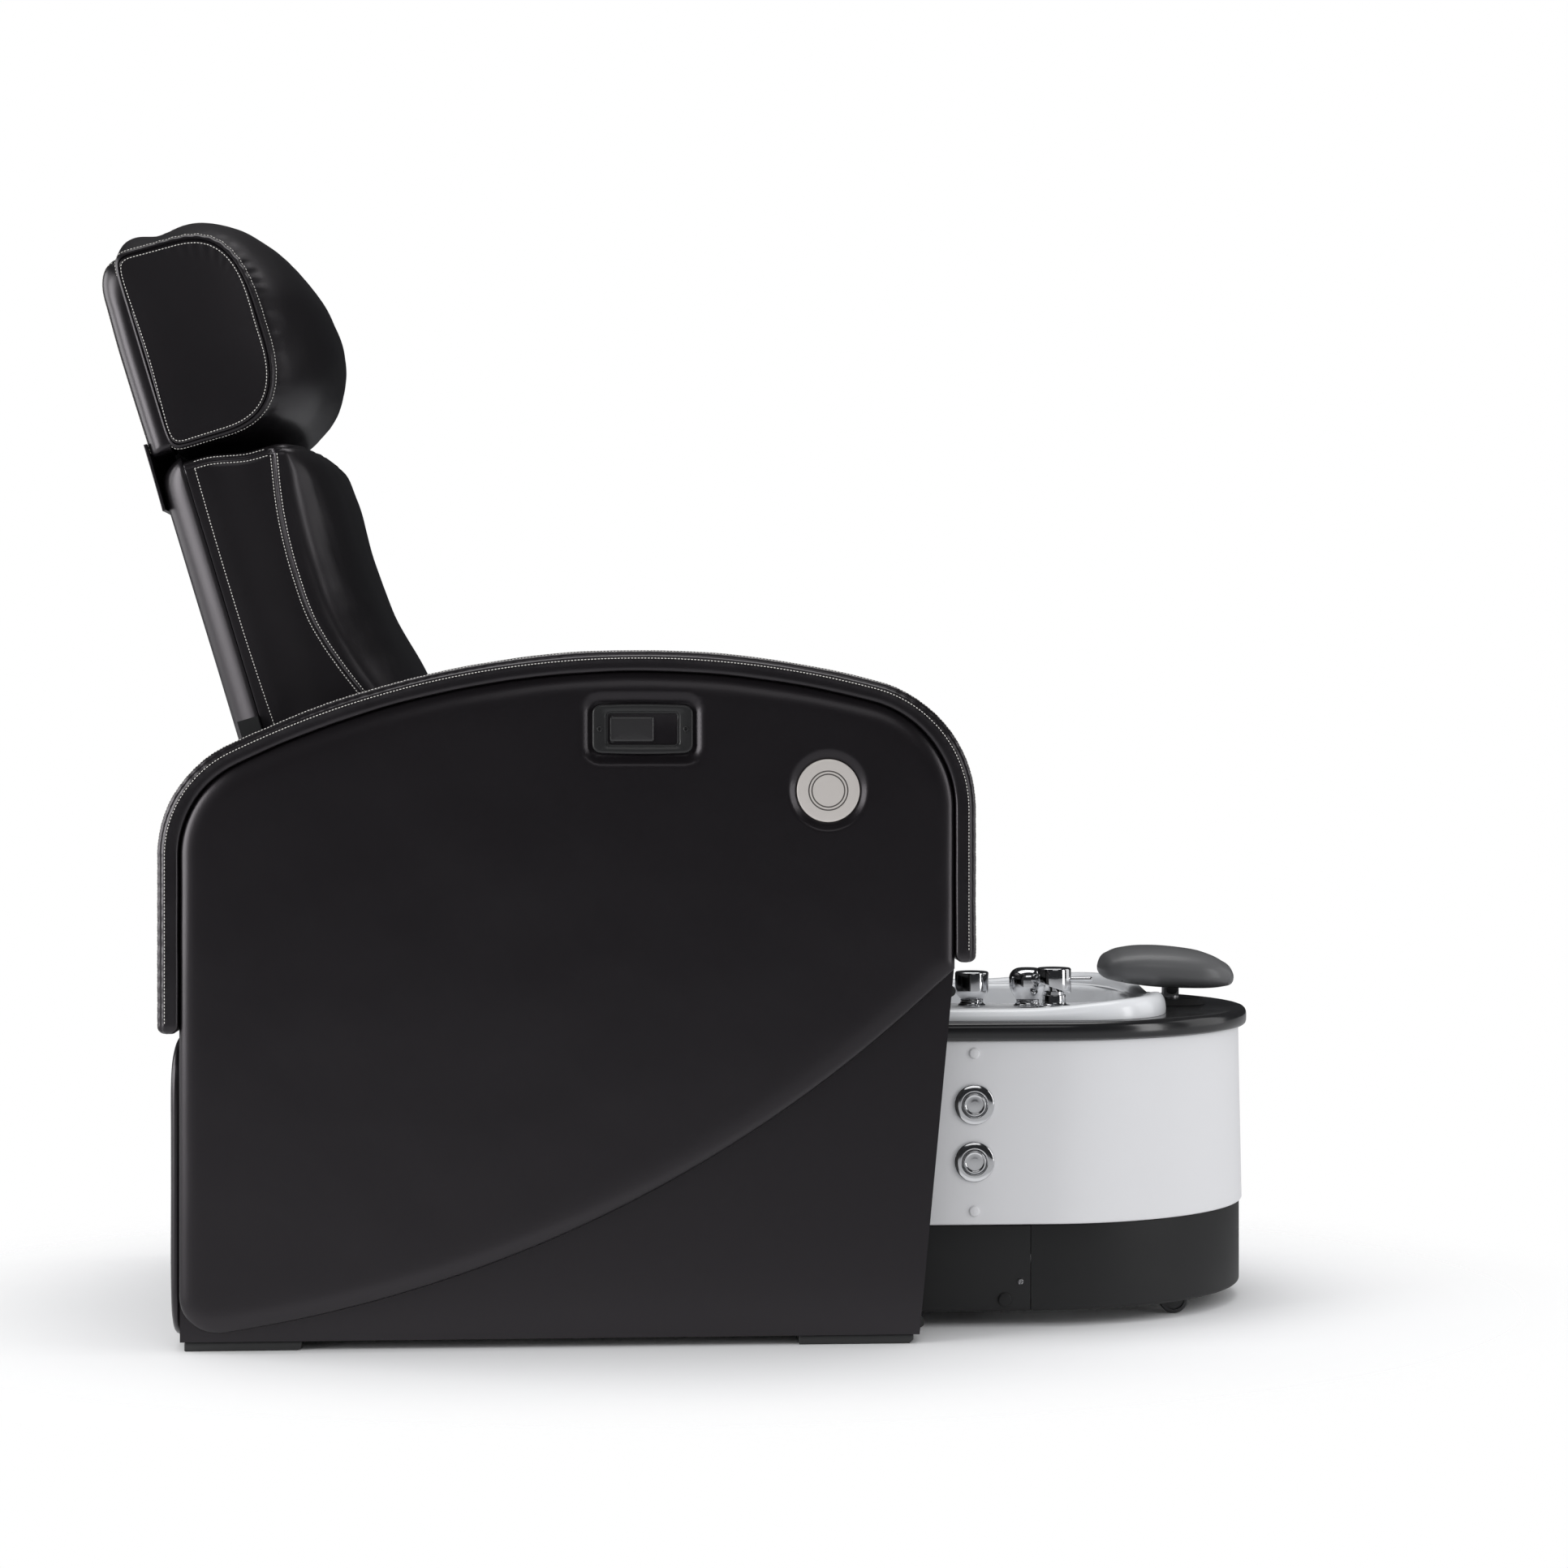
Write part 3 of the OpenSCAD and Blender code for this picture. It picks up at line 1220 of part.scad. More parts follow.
// Foot rest pad: swept up at its ends, crowned on top, hollow below for its plate
module footrest_pad() color("#2b2b2d") {
    top = rim_top + rest_h;
    mid = rim_top + 46;
    under = mid - plate_z + 6;
    steps = [[-1, 0.05], [-0.93, 0.42], [-0.8, 0.68], [-0.55, 0.9], [-0.2, 1], [0.2, 0.99],
        [0.55, 0.87], [0.8, 0.62], [0.93, 0.38], [1, 0.05]];
    difference() {
        skin([for (s = steps)
            let (half = rest_w / 2 * pow(s[1], 0.6))
            [for (t = [0:20:340]) let (p = super(half, 1, t, 2.6))
                [rest_x - pad_shift + s[0] * rest_l / 2, p.x,
                    mid - 6 * s[0] + p.y * (p.y > 0 ? (top - mid) * s[1] : under * pow(s[1], 0.5))]]]);
        translate([rest_x - pad_shift - plate_l / 2 - fit, -plate_w / 2 - fit, plate_z - 40])
            cube([plate_l + 2 * fit, plate_w + 2 * fit, 40 + plate_t + fit]);
    }
}

// ----------------------------------------------------------------------- nodes

arm_frame("left");  // arm_frame_left
arm_frame("right");  // arm_frame_right
outer_panel("left");  // outer_panel_left
outer_panel("right");  // outer_panel_right
inner_panel("left");  // inner_panel_left
inner_panel("right");  // inner_panel_right
side_pad("left");  // side_pad_left
side_pad("right");  // side_pad_right
arm_band("left");  // arm_band_left
arm_band("right");  // arm_band_right
rear_panel();
rear_board();
cross_rails();
slide_sleeves();
seat_deck();
seat_cushion();
feet();
front_bumpers();
latch_bezel();
latch_pin();
latch_screws();
latch_paddle();
release_cable();
side_disc();
recliner("left");  // recliner_left
recliner("right");  // recliner_right
back_frame();
back_board();
back_cover();
back_cushion();
headrest_pillow();
headrest_sleeve();
tub_frame();
skirt();
kick_front();
kick_side("left");  // kick_left
kick_side("right");  // kick_right
rim();
basin();
skirt_caps();
kick_screws();
button_bezels();
push_button(button_zs[0]);  // jet_button
push_button(button_zs[1]);  // light_button
casters();
wheel_pair(front_axle_x);  // front_wheels
wheel_pair(rear_axle_x);  // rear_wheels
slide_bars();
mixer_base();
mixer_cartridge();
mixer_handle();
deck_collars();
spout();
sprayer();
basin_fittings();
jet_pump();
footrest_socket();
footrest_post();
footrest_plate();
footrest_pad();
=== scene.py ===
# %% [markdown]
# # A pedicure spa chair: upholstery, tub and finishes round the built frame
# The chair is two padded arms on timber frames, a reclining back with a sliding headrest, and a wheeled
# foot tub. The solids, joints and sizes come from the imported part. This lesson dresses them: sewn covers,
# gel-coated tub, chrome fittings, and the wear that a used salon chair has.

# %% load the frame
import math

import bmesh
import bpy
import numpy as np
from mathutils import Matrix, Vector, kdtree, noise
from mathutils.geometry import delaunay_2d_cdt


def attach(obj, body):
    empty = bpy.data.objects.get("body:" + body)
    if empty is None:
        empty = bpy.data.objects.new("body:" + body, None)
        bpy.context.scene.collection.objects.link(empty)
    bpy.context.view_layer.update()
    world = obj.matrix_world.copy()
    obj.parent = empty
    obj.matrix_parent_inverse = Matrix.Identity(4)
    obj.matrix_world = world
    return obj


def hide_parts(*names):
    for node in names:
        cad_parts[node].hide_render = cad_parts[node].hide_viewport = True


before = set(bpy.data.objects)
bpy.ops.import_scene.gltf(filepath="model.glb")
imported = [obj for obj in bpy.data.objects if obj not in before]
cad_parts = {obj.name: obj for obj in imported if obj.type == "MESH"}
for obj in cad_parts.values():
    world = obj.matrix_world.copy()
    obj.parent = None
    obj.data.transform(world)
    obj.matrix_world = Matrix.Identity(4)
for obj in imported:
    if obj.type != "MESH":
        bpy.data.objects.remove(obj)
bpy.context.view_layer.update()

MM = 0.001
scene = bpy.context.scene

# %% [markdown]
# ## Sizes that the covers share with the frame
# A cover is cut to the frame it goes over, so its sizes are the frame's own, in millimetres. They are
# named once here, and each piece below is cut from them.

# %% sizes of the chair in millimetres
rear_x, front_x, arm_in, arm_out = -659.0, 348.0, 295.0, 372.0
arm_top, crown_r, rear_r, front_r = 861.0, 1150.0, 150.0, 165.0
band_t, band_w, band_rear_z, band_front_z = 27.0, 93.0, 390.0, 473.0
seam_r, pad_corner_r, fit = 1600.0, 46.0, 0.3
latch_x, latch_z, latch_face, latch_screw_xs = -66.0, 763.0, 389.5, (-119.0, -13.0)
bezel_l, bezel_h, bezel_r, cup_l, cup_h, cup_back = 124.0, 62.0, 10.0, 85.0, 38.0, 364.0
paddle_x, hinge_x, hinge_y = -79.5, -103.5, 380.5
disc_x, disc_z, disc_r = 163.0, 687.0, 39.0
pivot_x, pivot_z, lean = -443.0, 560.0, math.radians(16.7)
shell_x, back_rear, back_low, back_top, back_half = -35.0, 71.0, 32.0, 572.0, 280.0
head_low, head_l, head_crown, head_mid, head_depth = 589.0, 250.0, 72.0, 55.0, 146.0
seat_x0, seat_l, seat_z, seat_base = -315.0, 625.0, 600.0, 484.3
tub_x0, tub_xs, nose_x, tub_half = 72.0, 457.0, 752.0, 280.0
rim_z, rim_top, deck_top, lip_low, lip_top = 366.0, 390.0, 400.0, 390.3, 405.0
skirt_z, kick_z, skirt_in, kick_in, wall, kick_joint = 131.0, 20.0, 9.0, 14.0, 4.0, 431.0
basin_a, basin_half, basin_corner, bowl_floor = 170.0, 252.0, 30.0, 180.0
bowl_x0, bowl_x1, bowl_y0, bowl_y1 = 207.0, 597.0, -96.0, 222.0
button_x, button_y, jet_z, light_z, cap_zs = 358.0, 271.0, 285.0, 212.0, (350.0, 149.0)
kick_screw_x, kick_screw_z, kick_cap_x, kick_cap_z = 418.0, 58.0, 398.0, 35.0
mixer_at, sprayer_at, spout_at = (470.0, -204.0), (441.0, -162.0), (369.0, -152.0)
rest_x, rest_z, rest_l, rest_w = 652.0, 433.0, 184.0, 130.0

SIDES = ((-1, "right"), (1, "left"))
crown_c = np.array([-68.0, arm_top - crown_r])


def corner_centre(x, r):
    """Centre of a corner circle of the arm's arch that touches its long crown from inside."""
    return np.array([x, crown_c[1] + math.sqrt((crown_r - r) ** 2 - (x - crown_c[0]) ** 2)])


rear_c = corner_centre(rear_x + rear_r, rear_r)
front_c = corner_centre(front_x - front_r, front_r)
rear_a = math.atan2(*(rear_c - crown_c)[::-1])
front_a = math.atan2(*(front_c - crown_c)[::-1])
print("arch corners at", rear_c.round(1), front_c.round(1))

# %% [markdown]
# ## Finishes
# Salon upholstery is a coated fabric with a fine embossed grain. The tub is white gel coat with gloss black
# trims, and the fittings are chrome. Each effect that several finishes share is one node group: grain for
# bumps, wear for patchy sheen and dust, brushed lines for the disc, and figure for the plywood.


# %% helpers for node trees
FLOAT, COLOUR, VECTOR = "NodeSocketFloat", "NodeSocketColor", "NodeSocketVector"
WHITE = (1.0, 1.0, 1.0)


def shader_group(name, inputs, outputs):
    """Starts a shader node group with named sockets, and returns it with its two end nodes."""
    tree = bpy.data.node_groups.new(name, "ShaderNodeTree")
    for label, kind, value in inputs:
        socket = tree.interface.new_socket(label, in_out="INPUT", socket_type=kind)
        socket.default_value = value
    for label, kind in outputs:
        tree.interface.new_socket(label, in_out="OUTPUT", socket_type=kind)
    return tree, tree.nodes.new("NodeGroupInput"), tree.nodes.new("NodeGroupOutput")


def set_inputs(made, values):
    """Gives a node's sockets their values, each by its name or its place."""
    for key, value in values.items():
        made.inputs[key].default_value = value
    return made


def node(tree, kind, at=None, **settings):
    """One node of a tree with its settings; the values of its sockets are a dict called at."""
    made = tree.nodes.new(kind)
    for key, value in settings.items():
        setattr(made, key, value)
    return set_inputs(made, at or {})


def maths(tree, operation, **settings):
    """One calculating node of a tree."""
    return node(tree, "ShaderNodeMath", operation=operation, **settings)


def wire(tree, *links):
    """Joins nodes: each link is a node and its output, then the next node and its input."""
    for source, out, target, into in links:
        tree.links.new(source.outputs[out], target.inputs[into])


print("socket kinds:", FLOAT, COLOUR, VECTOR)

# %% [markdown]
# ### Grain and wear
# An embossed cover has pebbles with fine pores between them, over long shallow creases. An image of leather
# could be tiled over it, but a computed pattern has no edges and keeps its scale on every piece. Hands
# polish some patches and dust lies on faces that look up, so a second group varies sheen and colour.


# %% grain and wear
def grain_group():
    """Embossed grain: pebbles with fine pores between them, and long shallow creases."""
    tree, into, out = shader_group(
        "embossed_grain",
        [("Pebble Scale", FLOAT, 900.0), ("Depth", FLOAT, 0.12), ("Crease Scale", FLOAT, 28.0),
         ("Crease", FLOAT, 0.2)],
        [("Normal", VECTOR)])
    place = node(tree, "ShaderNodeTexCoord")
    pebble = node(tree, "ShaderNodeTexVoronoi", feature="SMOOTH_F1", at={"Smoothness": 0.6})
    crease = node(tree, "ShaderNodeTexNoise", at={"Detail": 6.0, "Roughness": 0.6, "Distortion": 0.7})
    weigh, total = maths(tree, "MULTIPLY"), maths(tree, "ADD")
    bump = node(tree, "ShaderNodeBump", at={"Distance": 0.0004})
    wire(tree, (place, "Object", pebble, "Vector"), (place, "Object", crease, "Vector"),
         (into, "Pebble Scale", pebble, "Scale"), (into, "Crease Scale", crease, "Scale"),
         (crease, "Fac", weigh, 0), (into, "Crease", weigh, 1),
         (pebble, "Distance", total, 0), (weigh, 0, total, 1),
         (total, 0, bump, "Height"), (into, "Depth", bump, "Strength"), (bump, "Normal", out, "Normal"))
    return tree


def wear_group():
    """Patchy sheen from handling, and a thin dust on faces that look up."""
    tree, into, out = shader_group(
        "handling_and_dust",
        [("Color", COLOUR, (0.1, 0.1, 0.1, 1.0)), ("Roughness", FLOAT, 0.4), ("Patch Scale", FLOAT, 5.0),
         ("Spread", FLOAT, 0.1), ("Dust", FLOAT, 0.05), ("Dust Color", COLOUR, (0.45, 0.43, 0.4, 1.0))],
        [("Color", COLOUR), ("Roughness", FLOAT)])
    place = node(tree, "ShaderNodeTexCoord")
    patch = node(tree, "ShaderNodeTexNoise", at={"Detail": 5.0, "Roughness": 0.55})
    centre, spread = maths(tree, "SUBTRACT", at={1: 0.5}), maths(tree, "MULTIPLY")
    rough, dusty = maths(tree, "ADD", use_clamp=True), maths(tree, "ADD", use_clamp=True)
    surface = node(tree, "ShaderNodeNewGeometry")
    split = node(tree, "ShaderNodeSeparateXYZ")
    upward = node(tree, "ShaderNodeMapRange", at={"From Min": 0.35, "From Max": 1.0})
    specks = node(tree, "ShaderNodeTexNoise", at={"Scale": 160.0, "Detail": 3.0})
    mask, amount = maths(tree, "MULTIPLY"), maths(tree, "MULTIPLY", use_clamp=True)
    mix = node(tree, "ShaderNodeMix", data_type="RGBA")
    wire(tree, (place, "Object", patch, "Vector"), (into, "Patch Scale", patch, "Scale"),
         (patch, "Fac", centre, 0), (centre, 0, spread, 0), (into, "Spread", spread, 1),
         (spread, 0, rough, 0), (into, "Roughness", rough, 1),
         (surface, "Normal", split, 0), (split, "Z", upward, "Value"), (upward, "Result", mask, 0),
         (place, "Object", specks, "Vector"), (specks, "Fac", mask, 1),
         (mask, 0, amount, 0), (into, "Dust", amount, 1), (amount, 0, mix, "Factor"),
         (into, "Color", mix, "A"), (into, "Dust Color", mix, "B"), (mix, "Result", out, "Color"),
         (rough, 0, dusty, 0), (amount, 0, dusty, 1), (dusty, 0, out, "Roughness"))
    return tree


GRAIN, WEAR = grain_group(), wear_group()
print("groups:", GRAIN.name, WEAR.name)

# %% [markdown]
# ### Brushed metal and plywood
# A turned disc shows fine rings, and plated steel shows the lines it was drawn with. Both are noise that is
# squeezed along one axis. Plywood shows long wavering bands, which a distorted wave gives at any scale.


# %% brushed lines and wood figure
def brushed_group():
    """Fine turned or drawn lines: noise squeezed along one axis."""
    tree, into, out = shader_group(
        "brushed_lines",
        [("Squeeze", VECTOR, WHITE), ("Line Scale", FLOAT, 40.0), ("Depth", FLOAT, 0.1)],
        [("Normal", VECTOR)])
    place = node(tree, "ShaderNodeTexCoord")
    squeeze = node(tree, "ShaderNodeVectorMath", operation="MULTIPLY")
    lines = node(tree, "ShaderNodeTexNoise", at={"Detail": 3.0})
    bump = node(tree, "ShaderNodeBump", at={"Distance": 0.0002})
    wire(tree, (place, "Object", squeeze, 0), (into, "Squeeze", squeeze, 1), (squeeze, 0, lines, "Vector"),
         (into, "Line Scale", lines, "Scale"), (lines, "Fac", bump, "Height"),
         (into, "Depth", bump, "Strength"), (bump, "Normal", out, "Normal"))
    return tree


def figure_group():
    """Plywood figure: long wavering bands between two wood colours."""
    tree, into, out = shader_group(
        "plywood_figure",
        [("Light", COLOUR, (0.017, 0.0145, 0.013, 1.0)), ("Dark", COLOUR, (0.009, 0.008, 0.0075, 1.0)),
         ("Band Scale", FLOAT, 9.0)],
        [("Color", COLOUR)])
    place = node(tree, "ShaderNodeTexCoord")
    bands = node(tree, "ShaderNodeTexWave", bands_direction="Z", at={"Distortion": 7.0, "Detail": 3.0})
    mix = node(tree, "ShaderNodeMix", data_type="RGBA")
    wire(tree, (place, "Object", bands, "Vector"), (into, "Band Scale", bands, "Scale"),
         (bands, "Fac", mix, "Factor"), (into, "Light", mix, "A"), (into, "Dark", mix, "B"),
         (mix, "Result", out, "Color"))
    return tree


BRUSHED, FIGURE = brushed_group(), figure_group()
print("groups:", BRUSHED.name, FIGURE.name)

# %% [markdown]
# ### The chair's finishes
# Real finishes differ in colour, sheen and coat more than in kind, so one function makes each material from
# a Principled shader and the groups above, and each finish is a line or two of values. All the blacks are
# nearly the same colour: leather reads as leather through its grain and its soft coat.


# %% the chair's finishes
def finish(name, colour, rough, metallic=0.0, coat=0.0, coat_rough=0.08, specular=0.5, tint=WHITE,
           spread=0.1, dust=0.04, sheen=0.0, grain=None, lines=None, wood=None):
    """A material: one Principled shader fed by the wear group, and by grain, brushed lines or wood figure.

    Grain is its pebble scale, depth, crease scale and crease; lines are their squeeze, scale and depth.
    """
    material = bpy.data.materials.new(name)
    material.use_nodes = True
    tree = material.node_tree
    shader = set_inputs(tree.nodes["Principled BSDF"], {
        "Metallic": metallic, "Coat Weight": coat, "Coat Roughness": coat_rough,
        "Specular IOR Level": specular, "Specular Tint": (*tint, 1.0), "Sheen Weight": sheen})
    wear = node(tree, "ShaderNodeGroup", node_tree=WEAR, at={
        "Color": (*colour, 1.0), "Roughness": rough, "Spread": spread, "Dust": dust})
    wire(tree, (wear, "Color", shader, "Base Color"), (wear, "Roughness", shader, "Roughness"))
    for group, values, labels in ((GRAIN, grain, ("Pebble Scale", "Depth", "Crease Scale", "Crease")),
                                  (BRUSHED, lines, ("Squeeze", "Line Scale", "Depth"))):
        if values:
            bumps = node(tree, "ShaderNodeGroup", node_tree=group, at=dict(zip(labels, values)))
            wire(tree, (bumps, "Normal", shader, "Normal"))
    if wood:
        figure = node(tree, "ShaderNodeGroup", node_tree=FIGURE, at={"Band Scale": wood})
        wire(tree, (figure, "Color", wear, "Color"))
    return material


HIDE = (1.0, 0.93, 1.0)
PEBBLES = 1150.0


def leather(name, colour, rough, grain, dust=0.008, **more):
    """Black upholstery with a faintly violet sheen; grain is its depth, crease scale and crease."""
    return finish(name, colour, rough, tint=HIDE, dust=dust, grain=(PEBBLES, *grain), **more)


pad_cover = leather("arm_cover_grained", (0.0042, 0.0033, 0.0042), 0.34, (0.13, 30.0, 0.35),
                    coat=0.2, coat_rough=0.2)
band_cover = leather("band_cover_smooth", (0.0045, 0.0038, 0.0046), 0.33, (0.09, 26.0, 0.5),
                     coat=0.35, coat_rough=0.2, specular=0.6, spread=0.12)
cushion_cover = leather("cushion_cover", (0.0042, 0.0036, 0.0043), 0.36, (0.1, 22.0, 0.6), dust=0.01,
                        coat=0.25, coat_rough=0.22, specular=0.55, spread=0.12)
glossy_cover = leather("rear_cover_gloss", (0.0045, 0.0039, 0.0047), 0.34, (0.06, 20.0, 0.4),
                       coat=0.25, coat_rough=0.26, specular=0.6)
thread = finish("topstitch_thread", (0.68, 0.66, 0.62), 0.75, dust=0.1, sheen=0.2)
dark_lining = finish("black_lining_board", (0.01, 0.01, 0.0105), 0.6, grain=(500.0, 0.2, 40.0, 0.2))
painted_steel = finish("painted_steel", (0.012, 0.0125, 0.013), 0.45, coat=0.1, dust=0.05,
                       grain=(1500.0, 0.05, 60.0, 0.2))
stained_timber = finish("stained_timber", (0.03, 0.026, 0.024), 0.6, dust=0.05, wood=9.0)
charcoal_plastic = finish("charcoal_plastic", (0.013, 0.013, 0.0135), 0.38, coat=0.2, coat_rough=0.15,
                          grain=(1800.0, 0.08, 70.0, 0.1))
paddle_plastic = finish("paddle_plastic", (0.024, 0.023, 0.024), 0.3, coat=0.3, coat_rough=0.15,
                        grain=(1800.0, 0.06, 70.0, 0.1))
kick_plastic = finish("kick_satin", (0.0105, 0.0105, 0.011), 0.5, specular=0.35, spread=0.15, dust=0.08)
rim_gloss = finish("rim_gloss", (0.012, 0.012, 0.013), 0.2, coat=0.3, coat_rough=0.12, spread=0.08, dust=0.03)
skirt_gelcoat = finish("skirt_gelcoat", (0.72, 0.72, 0.73), 0.5, specular=0.3, spread=0.08, dust=0.02)
gelcoat = finish("white_gelcoat", (0.76, 0.77, 0.785), 0.22, coat=0.35, spread=0.1, dust=0.03)
chrome = finish("chrome_plate", (0.7, 0.705, 0.72), 0.1, metallic=1.0, spread=0.06, dust=0.01)
brushed_disc = finish("turned_aluminium", (0.8, 0.755, 0.715), 0.42, metallic=0.55, spread=0.06, dust=0.01,
                      lines=((1.0, 1.0, 60.0), 30.0, 0.06))
# painted shade: the faces of the disc's two ring grooves are coloured dark for the shade that falls in them
disc_groove_painted_shade = finish("disc_groove_painted_shade", (0.2, 0.185, 0.175), 0.5, metallic=0.5)
# painted shade: the inside of the latch's cup is coloured near black for the shade deep in the recess
cup_painted_shade = finish("cup_painted_shade", (0.0025, 0.0025, 0.0025), 0.6, specular=0.2)
zinc = finish("zinc_steel", (0.45, 0.45, 0.46), 0.4, metallic=1.0, spread=0.2, dust=0.06,
              lines=((1.0, 8.0, 8.0), 60.0, 0.05))
wheel_plastic = finish("wheel_tread", (0.02, 0.02, 0.021), 0.35, dust=0.15, spread=0.2)
rubber = finish("black_rubber", (0.022, 0.022, 0.022), 0.62, dust=0.12, grain=(900.0, 0.1, 60.0, 0.2))
rest_foam = finish("foot_rest_skin", (0.105, 0.106, 0.108), 0.4, coat=0.1, dust=0.03,
                   grain=(1400.0, 0.08, 40.0, 0.2))
pump_plastic = finish("pump_housing", (0.08, 0.13, 0.18), 0.45, dust=0.15)
print("finishes:", len(bpy.data.materials))

# %% [markdown]
# ## Pattern cutting
# Most pieces here are rows of cross sections joined into one skin, which is how a cover is cut and a shell
# is laid up. The helpers below join rows, turn profiles round an axis, space points evenly, and find the
# normal at each point, because a seam's groove sinks along that normal and each stitch stands on it.


# %% skins from rows of sections
def linked(name, data):
    """An object of a mesh, a lamp or a camera, in the scene."""
    made = bpy.data.objects.new(name, data)
    scene.collection.objects.link(made)
    return made


def shaded(mesh, material, sharp):
    """Gives a mesh one material, smooth but for the edges over the angle sharp."""
    mesh.materials.clear()
    mesh.materials.append(material)
    mesh.polygons.foreach_set("use_smooth", np.ones(len(mesh.polygons), bool))
    mesh.set_sharp_from_angle(angle=sharp)


def shell(name, points, faces, material, sharp=40.0):
    """A closed mesh object in metres from points in millimetres, with its normals turned outwards."""
    mesh = bpy.data.meshes.new(name)
    mesh.from_pydata((np.asarray(points, float) * MM).tolist(), [], faces)
    work = bmesh.new()
    work.from_mesh(mesh)
    bmesh.ops.remove_doubles(work, verts=work.verts, dist=2e-6)
    bmesh.ops.recalc_face_normals(work, faces=work.faces)
    work.to_mesh(mesh)
    work.free()
    shaded(mesh, material, math.radians(sharp))
    return linked(name, mesh)


def joined(grids, caps=True):
    """Points and faces of one or more grids; each grid is rows of closed loops, ended by fans."""
    points, faces = [], []
    for grid in grids:
        m, n = grid.shape[:2]
        first = len(points)
        points += grid.reshape(-1, 3).tolist()
        faces += [(first + i * n + j, first + i * n + (j + 1) % n, first + (i + 1) * n + (j + 1) % n,
                   first + (i + 1) * n + j) for i in range(m - 1) for j in range(n)]
        for i in (0, m - 1) if caps else ():
            points.append(grid[i].mean(0).tolist())
            faces += [(first + i * n + j, first + i * n + (j + 1) % n, len(points) - 1) for j in range(n)]
    return points, faces


def seated(made, body, nodes):
    """Puts a finished piece on its body, in place of its CAD nodes."""
    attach(made, body)
    if nodes:
        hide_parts(*nodes)
    return made


def piece(name, grids, material, body, nodes, caps=True, sharp=40.0):
    """A skin over one or more grids, put in its place."""
    made = shell(name, *joined(grids, caps), material, sharp)
    print(name, "-", len(made.data.polygons), "faces")
    return seated(made, body, nodes)


def second_finish(made, material, where):
    """Gives a second material to the faces whose centre, in millimetres, passes a test."""
    made.data.materials.append(material)
    for face in made.data.polygons:
        face.material_index = int(where(*(face.center / MM)))


print("each skin closes its ends with fans of faces")

# %% [markdown]
# ### Lines, loops and turned profiles
# Fittings are profiles turned round an axis, and panels follow loops of arcs. Curve objects could draw both,
# but plain arrays of points let a seam be moved by one row. Points are spaced by length along their line,
# because seams, bevels and stitches need regular sections.


# %% lines and loops
def turned(profile, at, axis, count=64):
    """Grid of a profile (radius, height) turned round an axis: z, y, or -y towards the sitter's right."""
    angles = np.linspace(0, 2 * math.pi, count, endpoint=False)
    rows = []
    for r, h in profile:
        u, v = r * np.cos(angles), r * np.sin(angles)
        w = np.full(count, float(h))
        rows.append(np.stack({"z": (u, v, w), "-y": (u, -w, v), "y": (u, w, v)}[axis], -1))
    return np.array(rows) + np.array(at, float)


def closed_up(grid):
    """A grid whose last row is its first again, so that a hollow section closes."""
    return np.concatenate([grid, grid[:1]])


def eased(profile, r, steps=3, most=0.45):
    """A profile with each inner corner rounded by r, within its legs, so that edges catch light."""
    out = [profile[0]]
    for a, b, c in zip(profile, profile[1:], profile[2:]):
        a, b, c = (np.array(p, float) for p in (a, b, c))
        legs = [(leg, np.linalg.norm(leg)) for leg in (a - b, c - b)]
        cut = min(r, *(most * long for _, long in legs))
        p, q = (b + leg / max(1e-9, long) * cut for leg, long in legs)
        for t in np.linspace(0, 1, steps + 1):
            out.append(tuple((1 - t) ** 2 * p + 2 * t * (1 - t) * b + t * t * q))
    return out + [profile[-1]]


def run_of(line):
    """Length along a line up to each of its points."""
    return np.concatenate([[0], np.cumsum(np.linalg.norm(np.diff(line, axis=0), axis=1))])


def along(at, run, line):
    """Points of a line at the lengths given along it."""
    return np.stack([np.interp(at, run, line[:, k]) for k in range(line.shape[1])], -1)


def even(loop, count, start):
    """A closed loop resampled at equal spacing, from its point nearest to start."""
    loop = np.asarray(loop, float)
    loop = np.roll(loop, -int(np.argmin(np.linalg.norm(loop - start, axis=1))), 0)
    ring = np.vstack([loop, loop[:1]])
    run = run_of(ring)
    return along(np.linspace(0, run[-1], count, endpoint=False), run, ring)


def arc(c, r, a0, a1, count):
    """Points on an arc round c, from one angle to another."""
    a = np.linspace(a0, a1, count)
    return np.stack([c[0] + r * np.cos(a), c[1] + r * np.sin(a)], -1)


def super_loop(a, b, power, count):
    """Points round an oval of half sizes a and b that squares up as its power grows."""
    t = np.linspace(0, 2 * math.pi, count, endpoint=False)
    c, s = np.cos(t), np.sin(t)
    return np.stack([a * np.sign(c) * abs(c) ** (2 / power), b * np.sign(s) * abs(s) ** (2 / power)], -1)


print("the angles of arcs and turned profiles are in radians, their sizes in millimetres")

# %% [markdown]
# ### Softness
# Nothing upholstered is straight or even. Edges roll over, heights change through tables without kinks,
# seams sink along the surface's normal, and foam under a cover wavers by a millimetre. A sculpted mesh could
# show all this, but small functions give every piece the same hand and can be changed with one number.


# %% softness
def normals_of(grid):
    """Outward normal at each point of a grid of closed loops."""
    down = np.gradient(grid, axis=0)
    sideways = np.roll(grid, -1, 1) - np.roll(grid, 1, 1)
    n = np.cross(down, sideways)
    n /= np.maximum(1e-12, np.linalg.norm(n, axis=-1, keepdims=True))
    middle = grid.mean(1, keepdims=True)
    return n * (1 if (n * (grid - middle)).sum() > 0 else -1)


def rolled(gap, r):
    """Draw-in of an edge rounded by r, at a distance gap from the end."""
    left = np.clip(r - gap, 0, r)
    return r - np.sqrt(np.maximum(0, r * r - left * left))


def step(gap, run):
    """0 at no gap, 1 past the run, smooth between."""
    u = np.clip(gap / run, 0, 1)
    return u * u * (3 - 2 * u)


